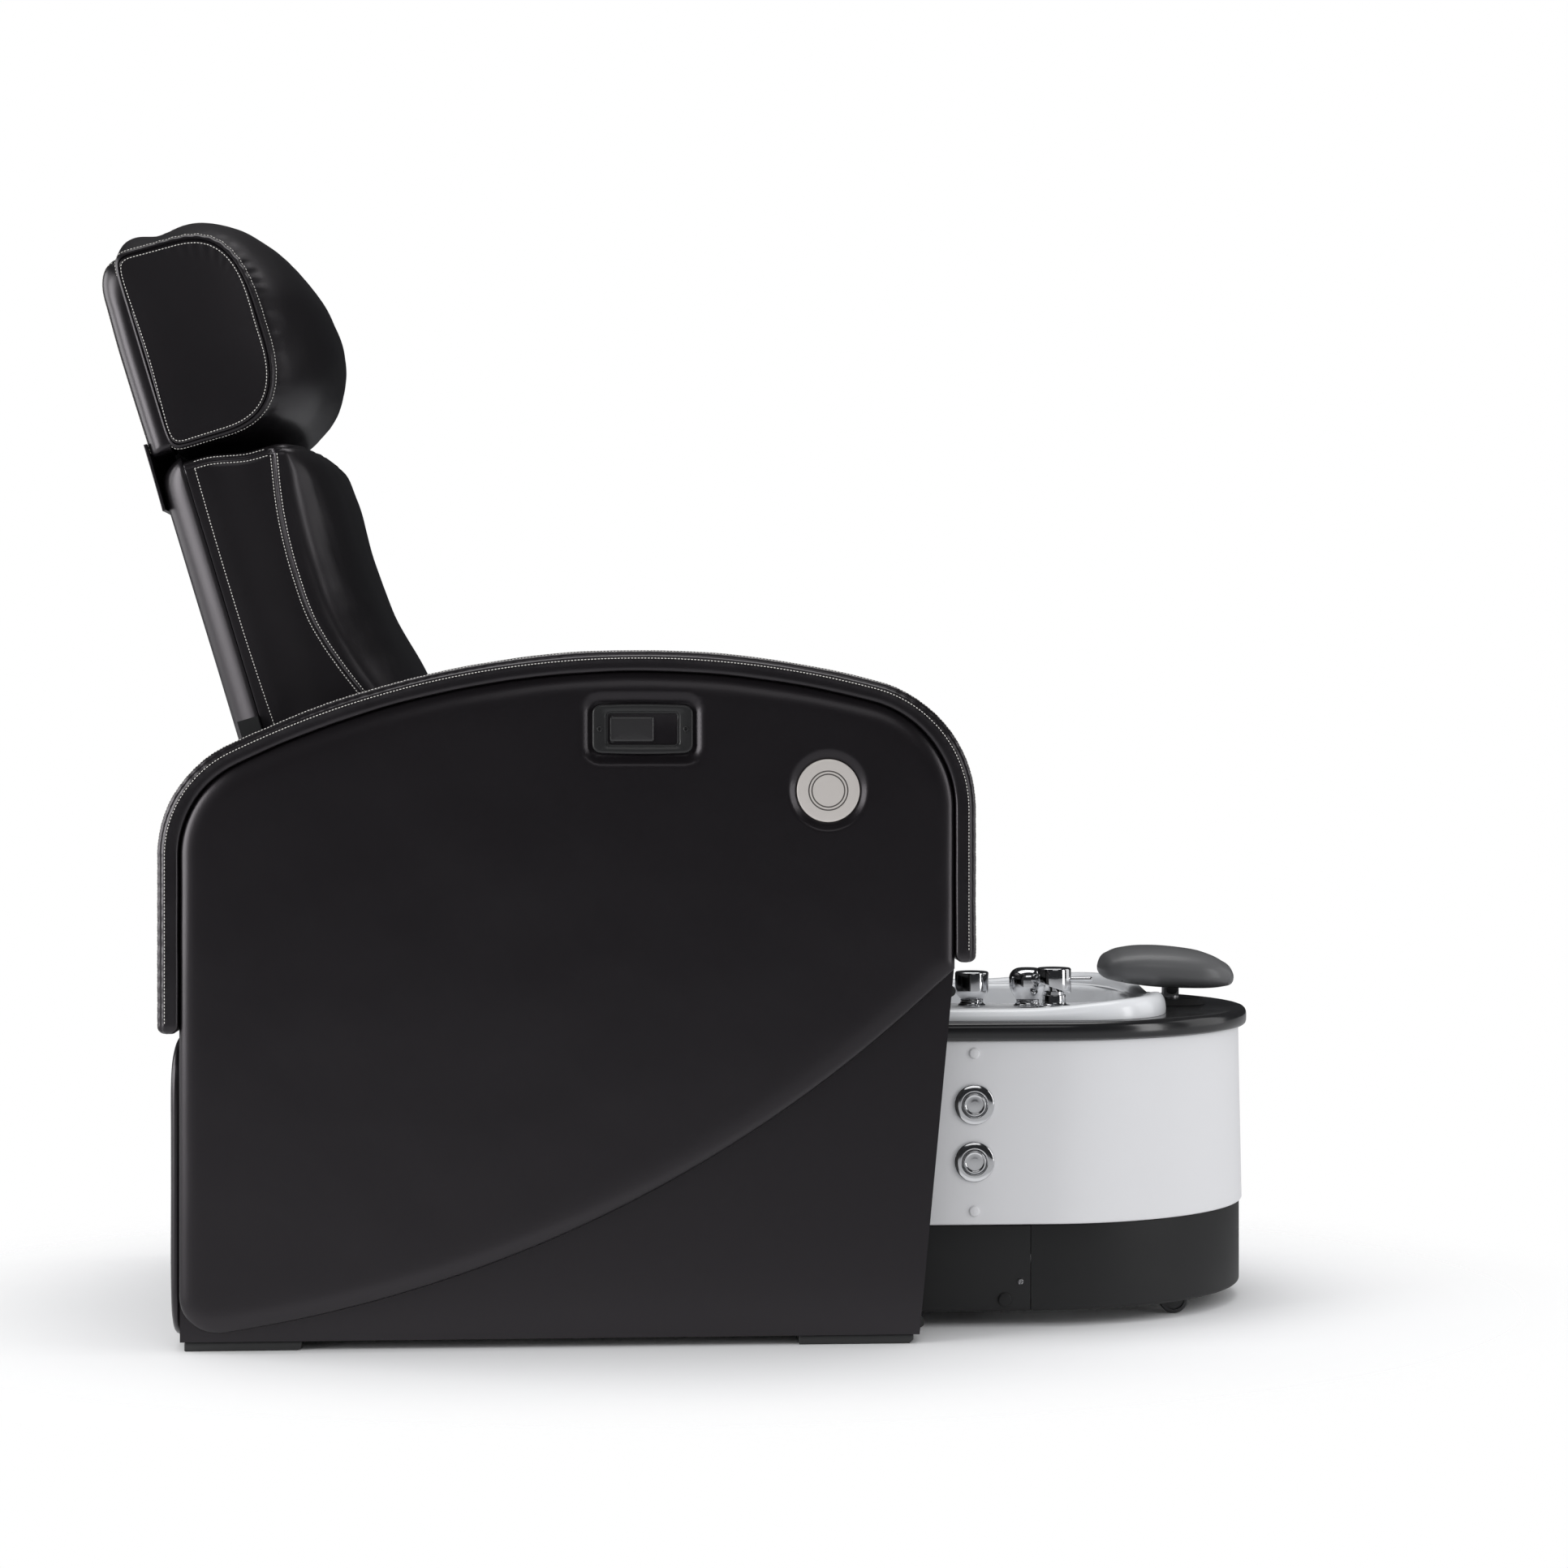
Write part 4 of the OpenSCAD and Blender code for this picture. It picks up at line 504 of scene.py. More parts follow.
def slope(gap, run, ease=0.25):
    """0 at no gap, 1 past the run, straight between but for short curved ends."""
    u = np.clip(gap / run, 0, 1)
    end = 2 * ease * (1 - ease)
    low, high, middle = u * u / end, 1 - (1 - u) ** 2 / end, (u - ease / 2) / (1 - ease)
    return np.where(u < ease, low, np.where(u > 1 - ease, high, middle))


def smooth_table(x, table):
    """Value at x of a curve through a table of (place, value), without kinks."""
    px, py = np.array(table, float).T
    rate = np.gradient(py, px)
    x = np.clip(x, px[0], px[-1])
    i = np.clip(np.searchsorted(px, x, side="right") - 1, 0, len(px) - 2)
    h = px[i + 1] - px[i]
    t = (x - px[i]) / h
    return ((2 * t**3 - 3 * t**2 + 1) * py[i] + (t**3 - 2 * t**2 + t) * h * rate[i]
            + (3 * t**2 - 2 * t**3) * py[i + 1] + (t**3 - t**2) * h * rate[i + 1])


def near(gap, width):
    """1 on a line and less with the distance from it, as a stitched groove is."""
    return np.exp(-((np.asarray(gap, float) / width) ** 2))


def slack(grid, height, size, seed, keep=None):
    """Moves a grid along its normals by noise of a height and size, as foam is never quite even."""
    lift = np.array([[noise.noise(Vector(p / size) + Vector((seed, 2 * seed, 0))) for p in row]
                     for row in grid])
    if keep is not None:
        lift = lift * keep
    return grid + normals_of(grid) * (lift * height)[..., None]


print("a stitched groove keeps", round(float(near(2.0, 2.0)), 2), "of its depth one width away")

# %% [markdown]
# ## Stitches
# The covers are closed with topstitching in a pale thread, four millimetres to the stitch, on both sides of
# each seam. A geometry node tree lays one small bead of thread on each point of a row, turned along the
# seam, so that the same tree sews every cover.


# %% the stitching tree
def stitch_tree():
    """Geometry nodes that lay a stitch on each point, turned by its 'along' and 'out' attributes."""
    tree = bpy.data.node_groups.new("topstitch", "GeometryNodeTree")
    for label, kind, value in (
            ("Geometry", "NodeSocketGeometry", None), ("Stitch Length", FLOAT, 0.0031),
            ("Thread Width", FLOAT, 0.0011), ("Thread Height", FLOAT, 0.0009), ("Twist", FLOAT, 0.1),
            ("Seed", "NodeSocketInt", 7), ("Thread", "NodeSocketMaterial", None)):
        socket = tree.interface.new_socket(label, in_out="INPUT", socket_type=kind)
        if value is not None:
            socket.default_value = value
    tree.interface.new_socket("Geometry", in_out="OUTPUT", socket_type="NodeSocketGeometry")
    into, out = tree.nodes.new("NodeGroupInput"), tree.nodes.new("NodeGroupOutput")
    bead = node(tree, "GeometryNodeMeshUVSphere", at={"Segments": 6, "Rings": 4, "Radius": 0.5})
    smooth = node(tree, "GeometryNodeSetShadeSmooth")
    size, turn = node(tree, "ShaderNodeCombineXYZ"), node(tree, "ShaderNodeCombineXYZ")
    way, outward = (node(tree, "GeometryNodeInputNamedAttribute", data_type="FLOAT_VECTOR", at={"Name": name})
                    for name in ("along", "out"))
    first = node(tree, "FunctionNodeAlignRotationToVector", axis="X")
    then = node(tree, "FunctionNodeAlignRotationToVector", axis="Z", pivot_axis="X")
    minus = maths(tree, "MULTIPLY", at={1: -1.0})
    chance = node(tree, "FunctionNodeRandomValue", data_type="FLOAT")
    least, most = [socket for socket in chance.inputs if socket.enabled][:2]
    twist = node(tree, "FunctionNodeRotateRotation", rotation_space="LOCAL")
    lay = node(tree, "GeometryNodeInstanceOnPoints")
    real = node(tree, "GeometryNodeRealizeInstances")
    paint = node(tree, "GeometryNodeSetMaterial")
    wire(tree, (into, "Stitch Length", size, "X"), (into, "Thread Width", size, "Y"),
         (into, "Thread Height", size, "Z"), (size, 0, lay, "Scale"),
         (bead, "Mesh", smooth, "Geometry"), (smooth, "Geometry", lay, "Instance"),
         (into, "Geometry", lay, "Points"), (way, "Attribute", first, "Vector"),
         (first, "Rotation", then, "Rotation"), (outward, "Attribute", then, "Vector"),
         (into, "Twist", minus, 0), (into, "Seed", chance, "Seed"),
         (then, "Rotation", twist, "Rotation"), (turn, 0, twist, "Rotate By"),
         (twist, "Rotation", lay, "Rotation"), (lay, "Instances", real, "Geometry"),
         (real, "Geometry", paint, "Geometry"), (into, "Thread", paint, "Material"),
         (paint, "Geometry", out, "Geometry"))
    tree.links.new(minus.outputs[0], least)
    tree.links.new(into.outputs["Twist"], most)
    tree.links.new(next(socket for socket in chance.outputs if socket.enabled), turn.inputs["Z"])
    return tree


TOPSTITCH = stitch_tree()
PITCH = 4.1


def row_on(grid, i=None, j=None, lo=0, hi=None, lift=0.1):
    """Places, directions and normals of stitches along one row or one column of a grid."""
    out = normals_of(grid)
    line, up = (grid[lo:hi, j], out[lo:hi, j]) if i is None else (grid[i, lo:hi], out[i, lo:hi])
    run = run_of(line)
    at = np.arange(PITCH / 2, run[-1], PITCH)
    place, stand = along(at, run, line), along(at, run, up)
    return place + stand * lift, np.gradient(place, axis=0), stand


def sewn(name, rows, body, seed):
    """One object with the stitches of all rows on one body."""
    place, way, out = (np.concatenate([row[k] for row in rows]) for k in range(3))
    mesh = bpy.data.meshes.new(name)
    mesh.from_pydata((place * MM).tolist(), [], [])
    for label, data in (("along", way), ("out", out)):
        layer = mesh.attributes.new(label, "FLOAT_VECTOR", "POINT")
        layer.data.foreach_set("vector", data.astype(np.float32).ravel())
    points = linked(name, mesh)
    sew = points.modifiers.new("topstitch", "NODES")
    sew.node_group = TOPSTITCH
    sockets = {s.name: s.identifier for s in TOPSTITCH.interface.items_tree if s.in_out == "INPUT"}
    sew[sockets["Thread"]], sew[sockets["Seed"]] = thread, seed
    view = bpy.context.evaluated_depsgraph_get()
    made = bpy.data.meshes.new_from_object(points.evaluated_get(view), depsgraph=view)
    points.modifiers.remove(sew)
    points.data = made
    made.name = name
    if not len(made.materials):
        made.materials.append(thread)
    seated(points, body, ())
    print(name, "-", len(place), "stitches")


# %% [markdown]
# ## Arm bands
# Each arm carries one long upholstered band over its arch, from low on the rear face to the front post. It
# has a crowned outer face, and a seam along each rounded edge with a row of stitches on either side. The
# seams make short puckers, which show as a broken highlight.


# %% arm bands
def arch_line():
    """Points and inward directions along the arch, from its rear foot to its front end, and lengths there."""
    up = [(rear_x, z) for z in np.arange(band_rear_z, rear_c[1], 1.0)]
    down = [(front_x, z) for z in np.arange(front_c[1], band_front_z - 0.5, -1.0)]
    line, inward = [up], [[(1.0, 0.0)] * len(up)]
    for c, r, a0, a1 in ((rear_c, rear_r, math.pi, rear_a), (crown_c, crown_r, rear_a, front_a),
                         (front_c, front_r, front_a, 0.0)):
        a = np.linspace(a0, a1, max(3, int(abs(a1 - a0) * r)), endpoint=False)
        way = np.stack([np.cos(a), np.sin(a)], -1)
        line.append(c + r * way)
        inward.append(-way)
    line = np.vstack([*line, down])
    return line, np.vstack([*inward, [(-1.0, 0.0)] * len(down)]), run_of(line)


ARCH, ARCH_IN, ARCH_RUN = arch_line()


def rounded_section(l, h, radii, spacing):
    """Loop round a rectangle from 0 to l and 0 to h with a radius at each corner, evenly spaced."""
    spots = [((l, 0), radii[1], -90), ((l, h), radii[2], 0), ((0, h), radii[3], 90), ((0, 0), radii[0], 180)]
    loop = []
    for (x, y), r, a0 in spots:
        centre = (x - r if x else r), (y - r if y else r)
        loop.append(arc(centre, r, math.radians(a0), math.radians(a0 + 90), 9))
    loop = np.vstack(loop)
    total = run_of(np.vstack([loop, loop[:1]]))[-1]
    return even(loop, int(total / spacing), loop[0])


def section_normals(loop):
    """Outward direction at each point of a flat loop."""
    way = np.roll(loop, -1, 0) - np.roll(loop, 1, 0)
    out = np.stack([way[:, 1], -way[:, 0]], -1)
    out /= np.linalg.norm(out, axis=1, keepdims=True)
    return out * (1 if (out * (loop - loop.mean(0))).sum() > 0 else -1)


BAND_STEP, BAND_FACE, BAND_CROWN, BAND_FULL, BAND_ROLL = 2.0, 12.0, 2.2, 1.8, 10.0
SEAM_IN, SEAM_SINK, SEAM_W, SEAM_SWELL = 4.6, 1.5, 2.2, 0.5
BAND_ENDS = np.array([0, 0.4, 1.2, 2.5, 4.5, 7, 10.0])


def arm_band(side):
    """Grid of one band, and the columns of its seams at the two edges of its outer face."""
    loop = rounded_section(band_t, band_w, (9.0, 4.5, 4.5, 9.0), BAND_STEP)
    depth, across = loop[:, 0], loop[:, 1]
    face = np.clip(1 - depth / BAND_FACE, 0, 1)
    crown = BAND_CROWN * (1 - (2 * across / band_w - 1) ** 2) * face
    depth = depth + BAND_FULL * face - crown
    seams = [int(np.argmin(np.hypot(depth - SEAM_IN, across - edge))) for edge in (band_w, 0)]
    out = section_normals(np.stack([depth, across], -1))
    total = ARCH_RUN[-1]
    s = np.concatenate([BAND_ENDS, np.arange(13, total - 12, 3.0), total - BAND_ENDS[::-1]])
    (px, pz), (nx, nz) = along(s, ARCH_RUN, ARCH).T, along(s, ARCH_RUN, ARCH_IN).T
    ring = np.arange(len(loop))
    sink = np.zeros((len(s), len(loop)))
    pucker = 0.22 * np.sin(s / 2.1 + 2.4 * np.sin(s / 37)) + 0.12 * np.sin(s / 5.3)
    for seam in seams:
        away = np.minimum(abs(ring - seam), len(loop) - abs(ring - seam)) * BAND_STEP
        sink += SEAM_SINK * near(away, SEAM_W)[None] - SEAM_SWELL * near(away - 6.5, 3.5)[None]
        sink += pucker[:, None] * near(away - 3, 5.0)[None]
    roll = rolled(np.minimum(s, total - s), BAND_ROLL)
    half_t, half_w = band_t / 2, band_w / 2
    t = half_t + (depth - half_t)[None] * (1 - roll / half_t)[:, None] - sink * out[:, 0]
    y = half_w + (across - half_w)[None] * (1 - roll / half_w)[:, None] - sink * out[:, 1]
    grid = np.stack([px[:, None] + nx[:, None] * t, side * (arm_in + y), pz[:, None] + nz[:, None] * t], -1)
    return slack(grid, height=0.7, size=55.0, seed=3.0 + side), seams


for side, label in SIDES:
    grid, seams = arm_band(side)
    count = grid.shape[1]
    piece(f"arm_band_cover_{label}", [grid], band_cover, "chair", [f"arm_band_{label}"])
    rows = []
    for seam, way in zip(seams, (1, -1)):
        for off in (-3, 3):
            short = 7 if off * way < 0 else 4
            rows.append(row_on(grid, j=(seam + off) % count, lo=short, hi=-short))
    sewn(f"arm_band_stitches_{label}", rows, "chair", seed=11 + side)
print("arm bands:", len(grid), "sections of", count)

# %% [markdown]
# ## Side pads
# The outer face of each arm is one large padded panel. Its edge rolls over in a soft radius of about
# fifteen millimetres, its middle is nearly flat, and the padding is drawn down round the latch and the disc.
# It is built as a height over the panel's outline, because that is how foam under a stretched cover lies.


# %% outline of the side pads
seam_c = np.array([rear_x - 140.0, 9.0 + seam_r])
core_i = band_t + fit
pad_x0, pad_x1 = rear_x + core_i, front_x - core_i
pad_cx = pad_x0 + pad_corner_r
pad_c = np.array([pad_cx, seam_c[1] - math.sqrt((seam_r - pad_corner_r) ** 2 - (pad_cx - seam_c[0]) ** 2)])
pad_a = math.atan2(pad_c[1] - seam_c[1], pad_c[0] - seam_c[0])
latch_c, disc_c = np.array([latch_x, latch_z]), np.array([disc_x, disc_z])


def between(a, b, t):
    """Points on the straight line from a to b."""
    return a + (b - a) * t[:, None]


def pad_outline(i, counts=(70, 12, 22, 120, 28)):
    """Outline of the side pad at an inset i: lower curved seam, rear corner, then the arch."""
    low_a = -math.acos((pad_x1 - i - seam_c[0]) / (seam_r - i))
    seam, corner, *arch = (
        arc(seam_c, seam_r - i, low_a, pad_a, counts[0]),
        arc(pad_c, pad_corner_r - i, pad_a, -math.pi, counts[1])[1:],
        arc(rear_c, rear_r - core_i - i, math.pi, rear_a, counts[2]),
        arc(crown_c, crown_r - core_i - i, rear_a, front_a, counts[3])[1:],
        arc(front_c, front_r - core_i - i, front_a, 0.0, counts[4])[1:])
    straight = np.linspace(0, 1, 26)[1:-1]
    return np.vstack([seam, corner, between(corner[-1], arch[0][0], straight), *arch,
                      between(seam[0], arch[-1][-1], straight[::-1])])


def inside(points, loop):
    """Which points lie inside a closed loop."""
    x, y = points[:, 0], points[:, 1]
    hit = np.zeros(len(points), bool)
    for a, b in zip(loop, np.roll(loop, -1, 0)):
        crosses = (a[1] > y) != (b[1] > y)
        with np.errstate(divide="ignore", invalid="ignore"):
            hit ^= crosses & (x < (b[0] - a[0]) * (y - a[1]) / (b[1] - a[1]) + a[0])
    return hit


def outline_gap(points, loop):
    """Distance of each point from a closed loop."""
    gap = np.full(len(points), 1e9)
    for a, b in zip(loop, np.roll(loop, -1, 0)):
        t = np.clip(((points - a) @ (b - a)) / max(1e-9, (b - a) @ (b - a)), 0, 1)
        gap = np.minimum(gap, np.linalg.norm(points - a - t[:, None] * (b - a), axis=1))
    return gap


def bezel_gap(points):
    """Distance outside the latch's round-cornered bezel; negative inside it."""
    q = np.abs(points - latch_c) - np.array([bezel_l / 2 - bezel_r, bezel_h / 2 - bezel_r])
    return np.linalg.norm(np.maximum(q, 0), axis=-1) + np.minimum(q.max(-1), 0) - bezel_r


def disc_gap(points):
    """Distance outside the disc; negative inside it."""
    return np.linalg.norm(points - disc_c, axis=1) - disc_r


print("side pad outline:", len(pad_outline(0)), "points")

# %% [markdown]
# ### Padding drawn down
# The cover dips round the latch and the disc, where their fixings pull it in. Rings of points are laid
# there, the rest of the middle gets a coarse lattice, and one triangulation joins them inside the outline.
# A grid of squares would need to be very fine everywhere to show the same dip.


# %% side pads
PAD_EDGE = [(0.0, 5.6), (0.2, 7.4), (0.9, 9.2), (2.4, 11.0), (5.0, 12.9), (8.5, 14.7), (13.0, 16.3),
            (18.5, 17.4), (22.0, 17.8), (26.0, 18.1), (30.5, 18.2), (35.0, 18.3)]
PAD_MESH = 11.0
PAD_WOBBLE = ((0.55, 95, 95, 5.0), (0.14, 21, 33, 9.0))
TUCK_RINGS = (0.5, 1.4, 2.6, 4, 5.6, 7.4, 9.4, 11.6, 14, 18, 24)
LATCH_TUCK, LATCH_RUN, LATCH_FLOOR, LATCH_CLEAR = 7.2, 15.5, 10.5, 33
DISC_TUCK, DISC_RUN, DISC_FLOOR, DISC_CLEAR = 5.8, 12.5, 6.0, 32


def tuck_points():
    """Points in rings round the latch and the disc, where the padding is drawn down."""
    extra = []
    for g in TUCK_RINGS:
        extra.append(arc(disc_c, disc_r + 0.4 + g, 0, 2 * math.pi, 73)[:-1])
        loop = rounded_section(bezel_l + 2 * g, bezel_h + 2 * g, [bezel_r + g] * 4, 7.0)
        extra.append(loop + np.array([latch_x - bezel_l / 2 - g, latch_z - bezel_h / 2 - g]))
    extra = np.vstack([*extra, arc(disc_c, disc_r - 0.6, 0, 2 * math.pi, 73)[:-1]])
    return extra[inside(extra, pad_outline(PAD_EDGE[-1][0] + 0.5))]


def drawn_down(spots, height):
    """Height of the padding with its tucks round the latch and the disc."""
    gap = bezel_gap(spots)
    height = height - LATCH_TUCK * (1 - slope(gap + 0.5, LATCH_RUN)) * (height > 10)
    height = np.where(gap < -0.2, LATCH_FLOOR, height)
    gap = disc_gap(spots)
    height = height - DISC_TUCK * (1 - slope(gap + 0.5, DISC_RUN)) * (height > 10)
    return np.where(gap < 0.2, DISC_FLOOR, height)


def side_pad(side):
    """Points and faces of one side pad: an edge of insets, then a filled middle, over a flat back."""
    rings = [pad_outline(i) for i, _ in PAD_EDGE]
    n = len(rings[0])
    edges = [(k * n + j, k * n + (j + 1) % n) for k in range(len(rings)) for j in range(n)]
    xs, zs = np.meshgrid(np.arange(pad_x0, pad_x1, PAD_MESH), np.arange(0.0, arm_top, PAD_MESH))
    middle = np.stack([xs.ravel(), zs.ravel()], -1)
    extra = []
    if side < 0:
        extra = tuck_points()
        middle = middle[(bezel_gap(middle) > LATCH_CLEAR) & (disc_gap(middle) > DISC_CLEAR)]
    middle = middle[inside(middle, pad_outline(PAD_EDGE[-1][0] + 6))]
    places = [Vector(p) for group in (*rings, middle, extra) for p in group]
    spots, _, faces, *_ = delaunay_2d_cdt(places, edges, [], 1, 1e-4)
    spots = np.array([tuple(p) for p in spots])
    height = smooth_table(outline_gap(spots, rings[0]), PAD_EDGE)
    soft = np.clip((height - 14) / 4, 0, 1)
    for depth, across, up, seed in PAD_WOBBLE:
        lift = [depth * noise.noise(Vector((x / across, z / up, seed + side))) for x, z in spots]
        height = height + np.array(lift) * soft
    if side < 0:
        height = drawn_down(spots, height)
    n_top = len(spots)
    index = {(round(p[0], 2), round(p[1], 2)): k for k, p in enumerate(spots)}
    rim_ids = [index[(round(p[0], 2), round(p[1], 2))] for p in rings[0]]
    points = [(p[0], side * (arm_out + h), p[1]) for p, h in zip(spots, height)]
    points += [(p[0], side * (arm_out + fit), p[1]) for p in pad_outline(2.6)]
    faces = [tuple(f) for f in faces]
    faces += [(rim_ids[j], rim_ids[(j + 1) % n], n_top + (j + 1) % n, n_top + j) for j in range(n)]
    faces.append(tuple(n_top + j for j in range(n)))
    return points, faces


for side, label in SIDES:
    made = shell(f"side_pad_cover_{label}", *side_pad(side), pad_cover, sharp=60)
    seated(made, "chair", [f"side_pad_{label}"])
    print(made.name, len(made.data.polygons), "faces")

# %% [markdown]
# ## Rear panel
# The low panel behind the chair is a thin padded board in the glossier cover. It closes the back of the
# frame between the arms' feet and the ends of the bands.


# %% rear panel
PANEL_EDGE = ((0.03, 3.5), (0.2, 1.2), (0.42, 0.6), (0.62, 1.6), (0.78, 4.2), (0.88, 9), (0.95, 18),
              (0.985, 34), (1.0, 70), (1.0, 130))
PANEL_T = 14.0


def rear_panel():
    """Grid of the panel: square-cornered loops of growing depth and inset, from its back to its face."""
    low, high, half_w = 6.0, band_rear_z - 6.0, arm_out - 2.0
    rows = []
    for share, i in PANEL_EDGE:
        loop = super_loop(half_w - i, (high - low) / 2 - i, 9 if i < 50 else 5, 200)
        x = rear_x + core_i - max(fit, share * PANEL_T)
        rows.append([(x, y, (low + high) / 2 + z) for y, z in loop])
    return slack(np.array(rows), height=0.6, size=90.0, seed=4.0)


piece("rear_panel_cover", [rear_panel()], glossy_cover, "chair", ["rear_panel"])

# %% [markdown]
# ## Cushions
# The seat and the back are boxed cushions: a crowned front panel, sewn to a flat band along its sides. Each
# is cut as a grid of sections. A short cloth simulation then blows the cover up against its filling, and the
# grid follows it, so that the crowns and the slack between them aren't drawn by hand. Seams come last.


# %% cloth settling
SETTLE_FRAMES, VOXEL, NEIGHBOURS = 20, 0.009, 6


def settled(name, grid, cap, shrink=0.985):
    """The grid moved as a pressurised cover of the same form moves, at most by cap millimetres."""
    middle = grid.reshape(-1, 3).mean(0)
    small = middle + (grid - middle) * shrink
    form = shell(name, *joined([small]), cushion_cover)
    voxels = form.modifiers.new("voxels", "REMESH")
    voxels.mode, voxels.voxel_size = "VOXEL", VOXEL
    view = bpy.context.evaluated_depsgraph_get()
    form.data = bpy.data.meshes.new_from_object(form.evaluated_get(view), depsgraph=view)
    form.modifiers.clear()
    before = np.array([v.co for v in form.data.vertices]) / MM
    cloth = form.modifiers.new("cover", "CLOTH")
    feel = cloth.settings
    feel.quality, feel.mass, feel.bending_stiffness = 4, 0.3, 0.6
    feel.tension_stiffness = feel.compression_stiffness = 25
    feel.use_pressure, feel.uniform_pressure_force = True, 4.0
    feel.effector_weights.gravity = 0
    cloth.point_cache.frame_start, cloth.point_cache.frame_end = 1, SETTLE_FRAMES
    for f in range(1, SETTLE_FRAMES + 1):
        scene.frame_set(f)
    view = bpy.context.evaluated_depsgraph_get()
    after = bpy.data.meshes.new_from_object(form.evaluated_get(view), depsgraph=view)
    moved = np.array([v.co for v in after.vertices]) / MM - before
    tree = kdtree.KDTree(len(before))
    for k, p in enumerate(before):
        tree.insert(p, k)
    tree.balance()
    flat = small.reshape(-1, 3)
    shift = np.zeros_like(flat)
    for k, p in enumerate(flat):
        found = tree.find_n(p, NEIGHBOURS)
        w = np.array([1 / (f[2] + 3) for f in found])
        shift[k] = (moved[[f[1] for f in found]] * w[:, None]).sum(0) / w.sum()
    size = np.linalg.norm(shift, axis=1, keepdims=True)
    shift *= np.minimum(1, cap / np.maximum(size, 1e-9))
    bpy.data.objects.remove(form)
    scene.frame_set(1)
    print(name, "was pulled by up to", round(float(size.max()), 1), "mm and is held to", cap)
    return (flat + shift).reshape(grid.shape)


def kept_low(grid, was, axis, level, run):
    """Keeps the part of a cushion below a level where it was, as its board holds it there."""
    hold = 1 - step(was[..., axis] - level, run)
    return grid + (was - grid) * hold[..., None]


# %% [markdown]
# ### Seat
# The seat lies on its deck, flat below where the board holds it and full above, with edges that fall away at
# the front and the rear. Sections across it are cut close together at both ends, where its form turns most.


# %% seat cushion
SEAT_SIDE, SEAT_TOP, SEAT_BASE = 15, 28, 14
SEAT_RIB = np.concatenate([[0, 1, 3, 6, 10, 16, 23], np.arange(32, 594, 9.0),
                           [603, 610, 616, 620, 623, 624.4, seat_l]])
DROP_REAR = [(0, 58), (3, 42), (8, 28), (16, 17), (30, 9), (60, 3.5), (110, 1), (312, 0)]
DROP_FRONT = [(0, 60), (3, 46), (8, 34), (16, 24), (30, 14), (55, 7), (100, 2), (313, 0)]


def seat_section(half, base, seam, crown):
    """Loop round one section of the seat: flat base, boxed side, crowned top."""
    side = [(half - 7, base), (half - 3, base + 1), (half - 1, base + 4)]
    side += [(half + 1.2 * math.sin(math.pi * t), base + 4 + (seam - base - 10) * t)
             for t in np.linspace(0, 1, SEAT_SIDE - 6)]
    side += [(half - 0.2, seam - 3), (half - 1.6, seam), (half - 0.6, seam + 3)]
    top = [((half - 0.8) * math.cos(a), seam + 3 + (crown - seam - 3) * math.sin(a) ** 0.8)
           for a in np.radians(np.linspace(4, 90, SEAT_TOP))]
    half_loop = side + top
    base_run = [(y, base) for y in np.linspace(-half + 20, half - 20, SEAT_BASE)]
    return half_loop + [(-y, z) for y, z in half_loop[-2::-1]] + base_run


def seat_cushion():
    """Grid of the seat before it settles, from its rear edge to its front one."""
    rows = []
    for x in SEAT_RIB:
        drop = float(smooth_table(x, DROP_REAR) if x < 312 else smooth_table(seat_l - x, DROP_FRONT))
        half = arm_in - 3 - float(rolled(min(x, seat_l - x), 12.0))
        crown = seat_z - drop
        seam = min(crown - 6, seat_z - 30 - drop / 3)
        rows.append([(seat_x0 + x, y, z) for y, z in seat_section(half, seat_base, seam, crown)])
    return np.array(rows)


flat_seat = seat_cushion()
seat_grid = kept_low(settled("seat_form", flat_seat, 9.0), flat_seat, 2, 492.0, 40.0)
seat_grid[..., 1] = np.clip(seat_grid[..., 1], -arm_in + 1.5, arm_in - 1.5)
seat_grid[..., 2] = np.clip(seat_grid[..., 2], seat_base, seat_z + 9)
seat_grid = slack(seat_grid, height=1.6, size=60.0, seed=6.0, keep=step(seat_grid[..., 2] - 500, 40))
piece("seat_cover", [seat_grid], cushion_cover, "chair", ["seat_cushion"])
seam_at, last = SEAT_SIDE - 2, 2 * (SEAT_SIDE + SEAT_TOP) - 2
columns = seam_at - 2, seam_at + 3, last - seam_at + 2, last - seam_at - 3
sewn("seat_stitches", [row_on(seat_grid, j=j, lo=8, hi=-8) for j in columns], "chair", seed=21)


# %% [markdown]
# ### Back
# The back is thickest at the small of the back and slightly waisted. It is cut upright on its own board, in
# rows that climb the back, and leaned into place last, so that every section stays square to the board.


# %% back cushion
def on_back(p):
    """Points given ahead of, across and up the back's board, moved into the chair's frame."""
    p = np.asarray(p, float)
    c, s = math.cos(lean), math.sin(lean)
    return np.stack([pivot_x + c * p[..., 0] - s * p[..., 2], p[..., 1],
                     pivot_z + s * p[..., 0] + c * p[..., 2]], -1)


hang_low = back_low - 40.0
back_l = back_top - hang_low
BACK_SIDE, BACK_FRONT, BACK_REAR = 20, 34, 16
BACK_RIB = np.concatenate([[0, 0.6, 2, 4, 7, 10, 14, 19], np.arange(27, back_l - 24, 7.0),
                           back_l - np.array([18, 13, 11, 9.5, 8, 6, 4, 2, 0.6, 0])])
BACK_SEAM = [(0, 96), (110, 112), (190, 106), (280, 76), (330, 63), (400, 58), (480, 62), (572, 78)]
BACK_CROWN = [(0, 150), (40, 170), (150, 177), (240, 165), (330, 146), (400, 140), (500, 141), (545, 134),
              (572, 118)]


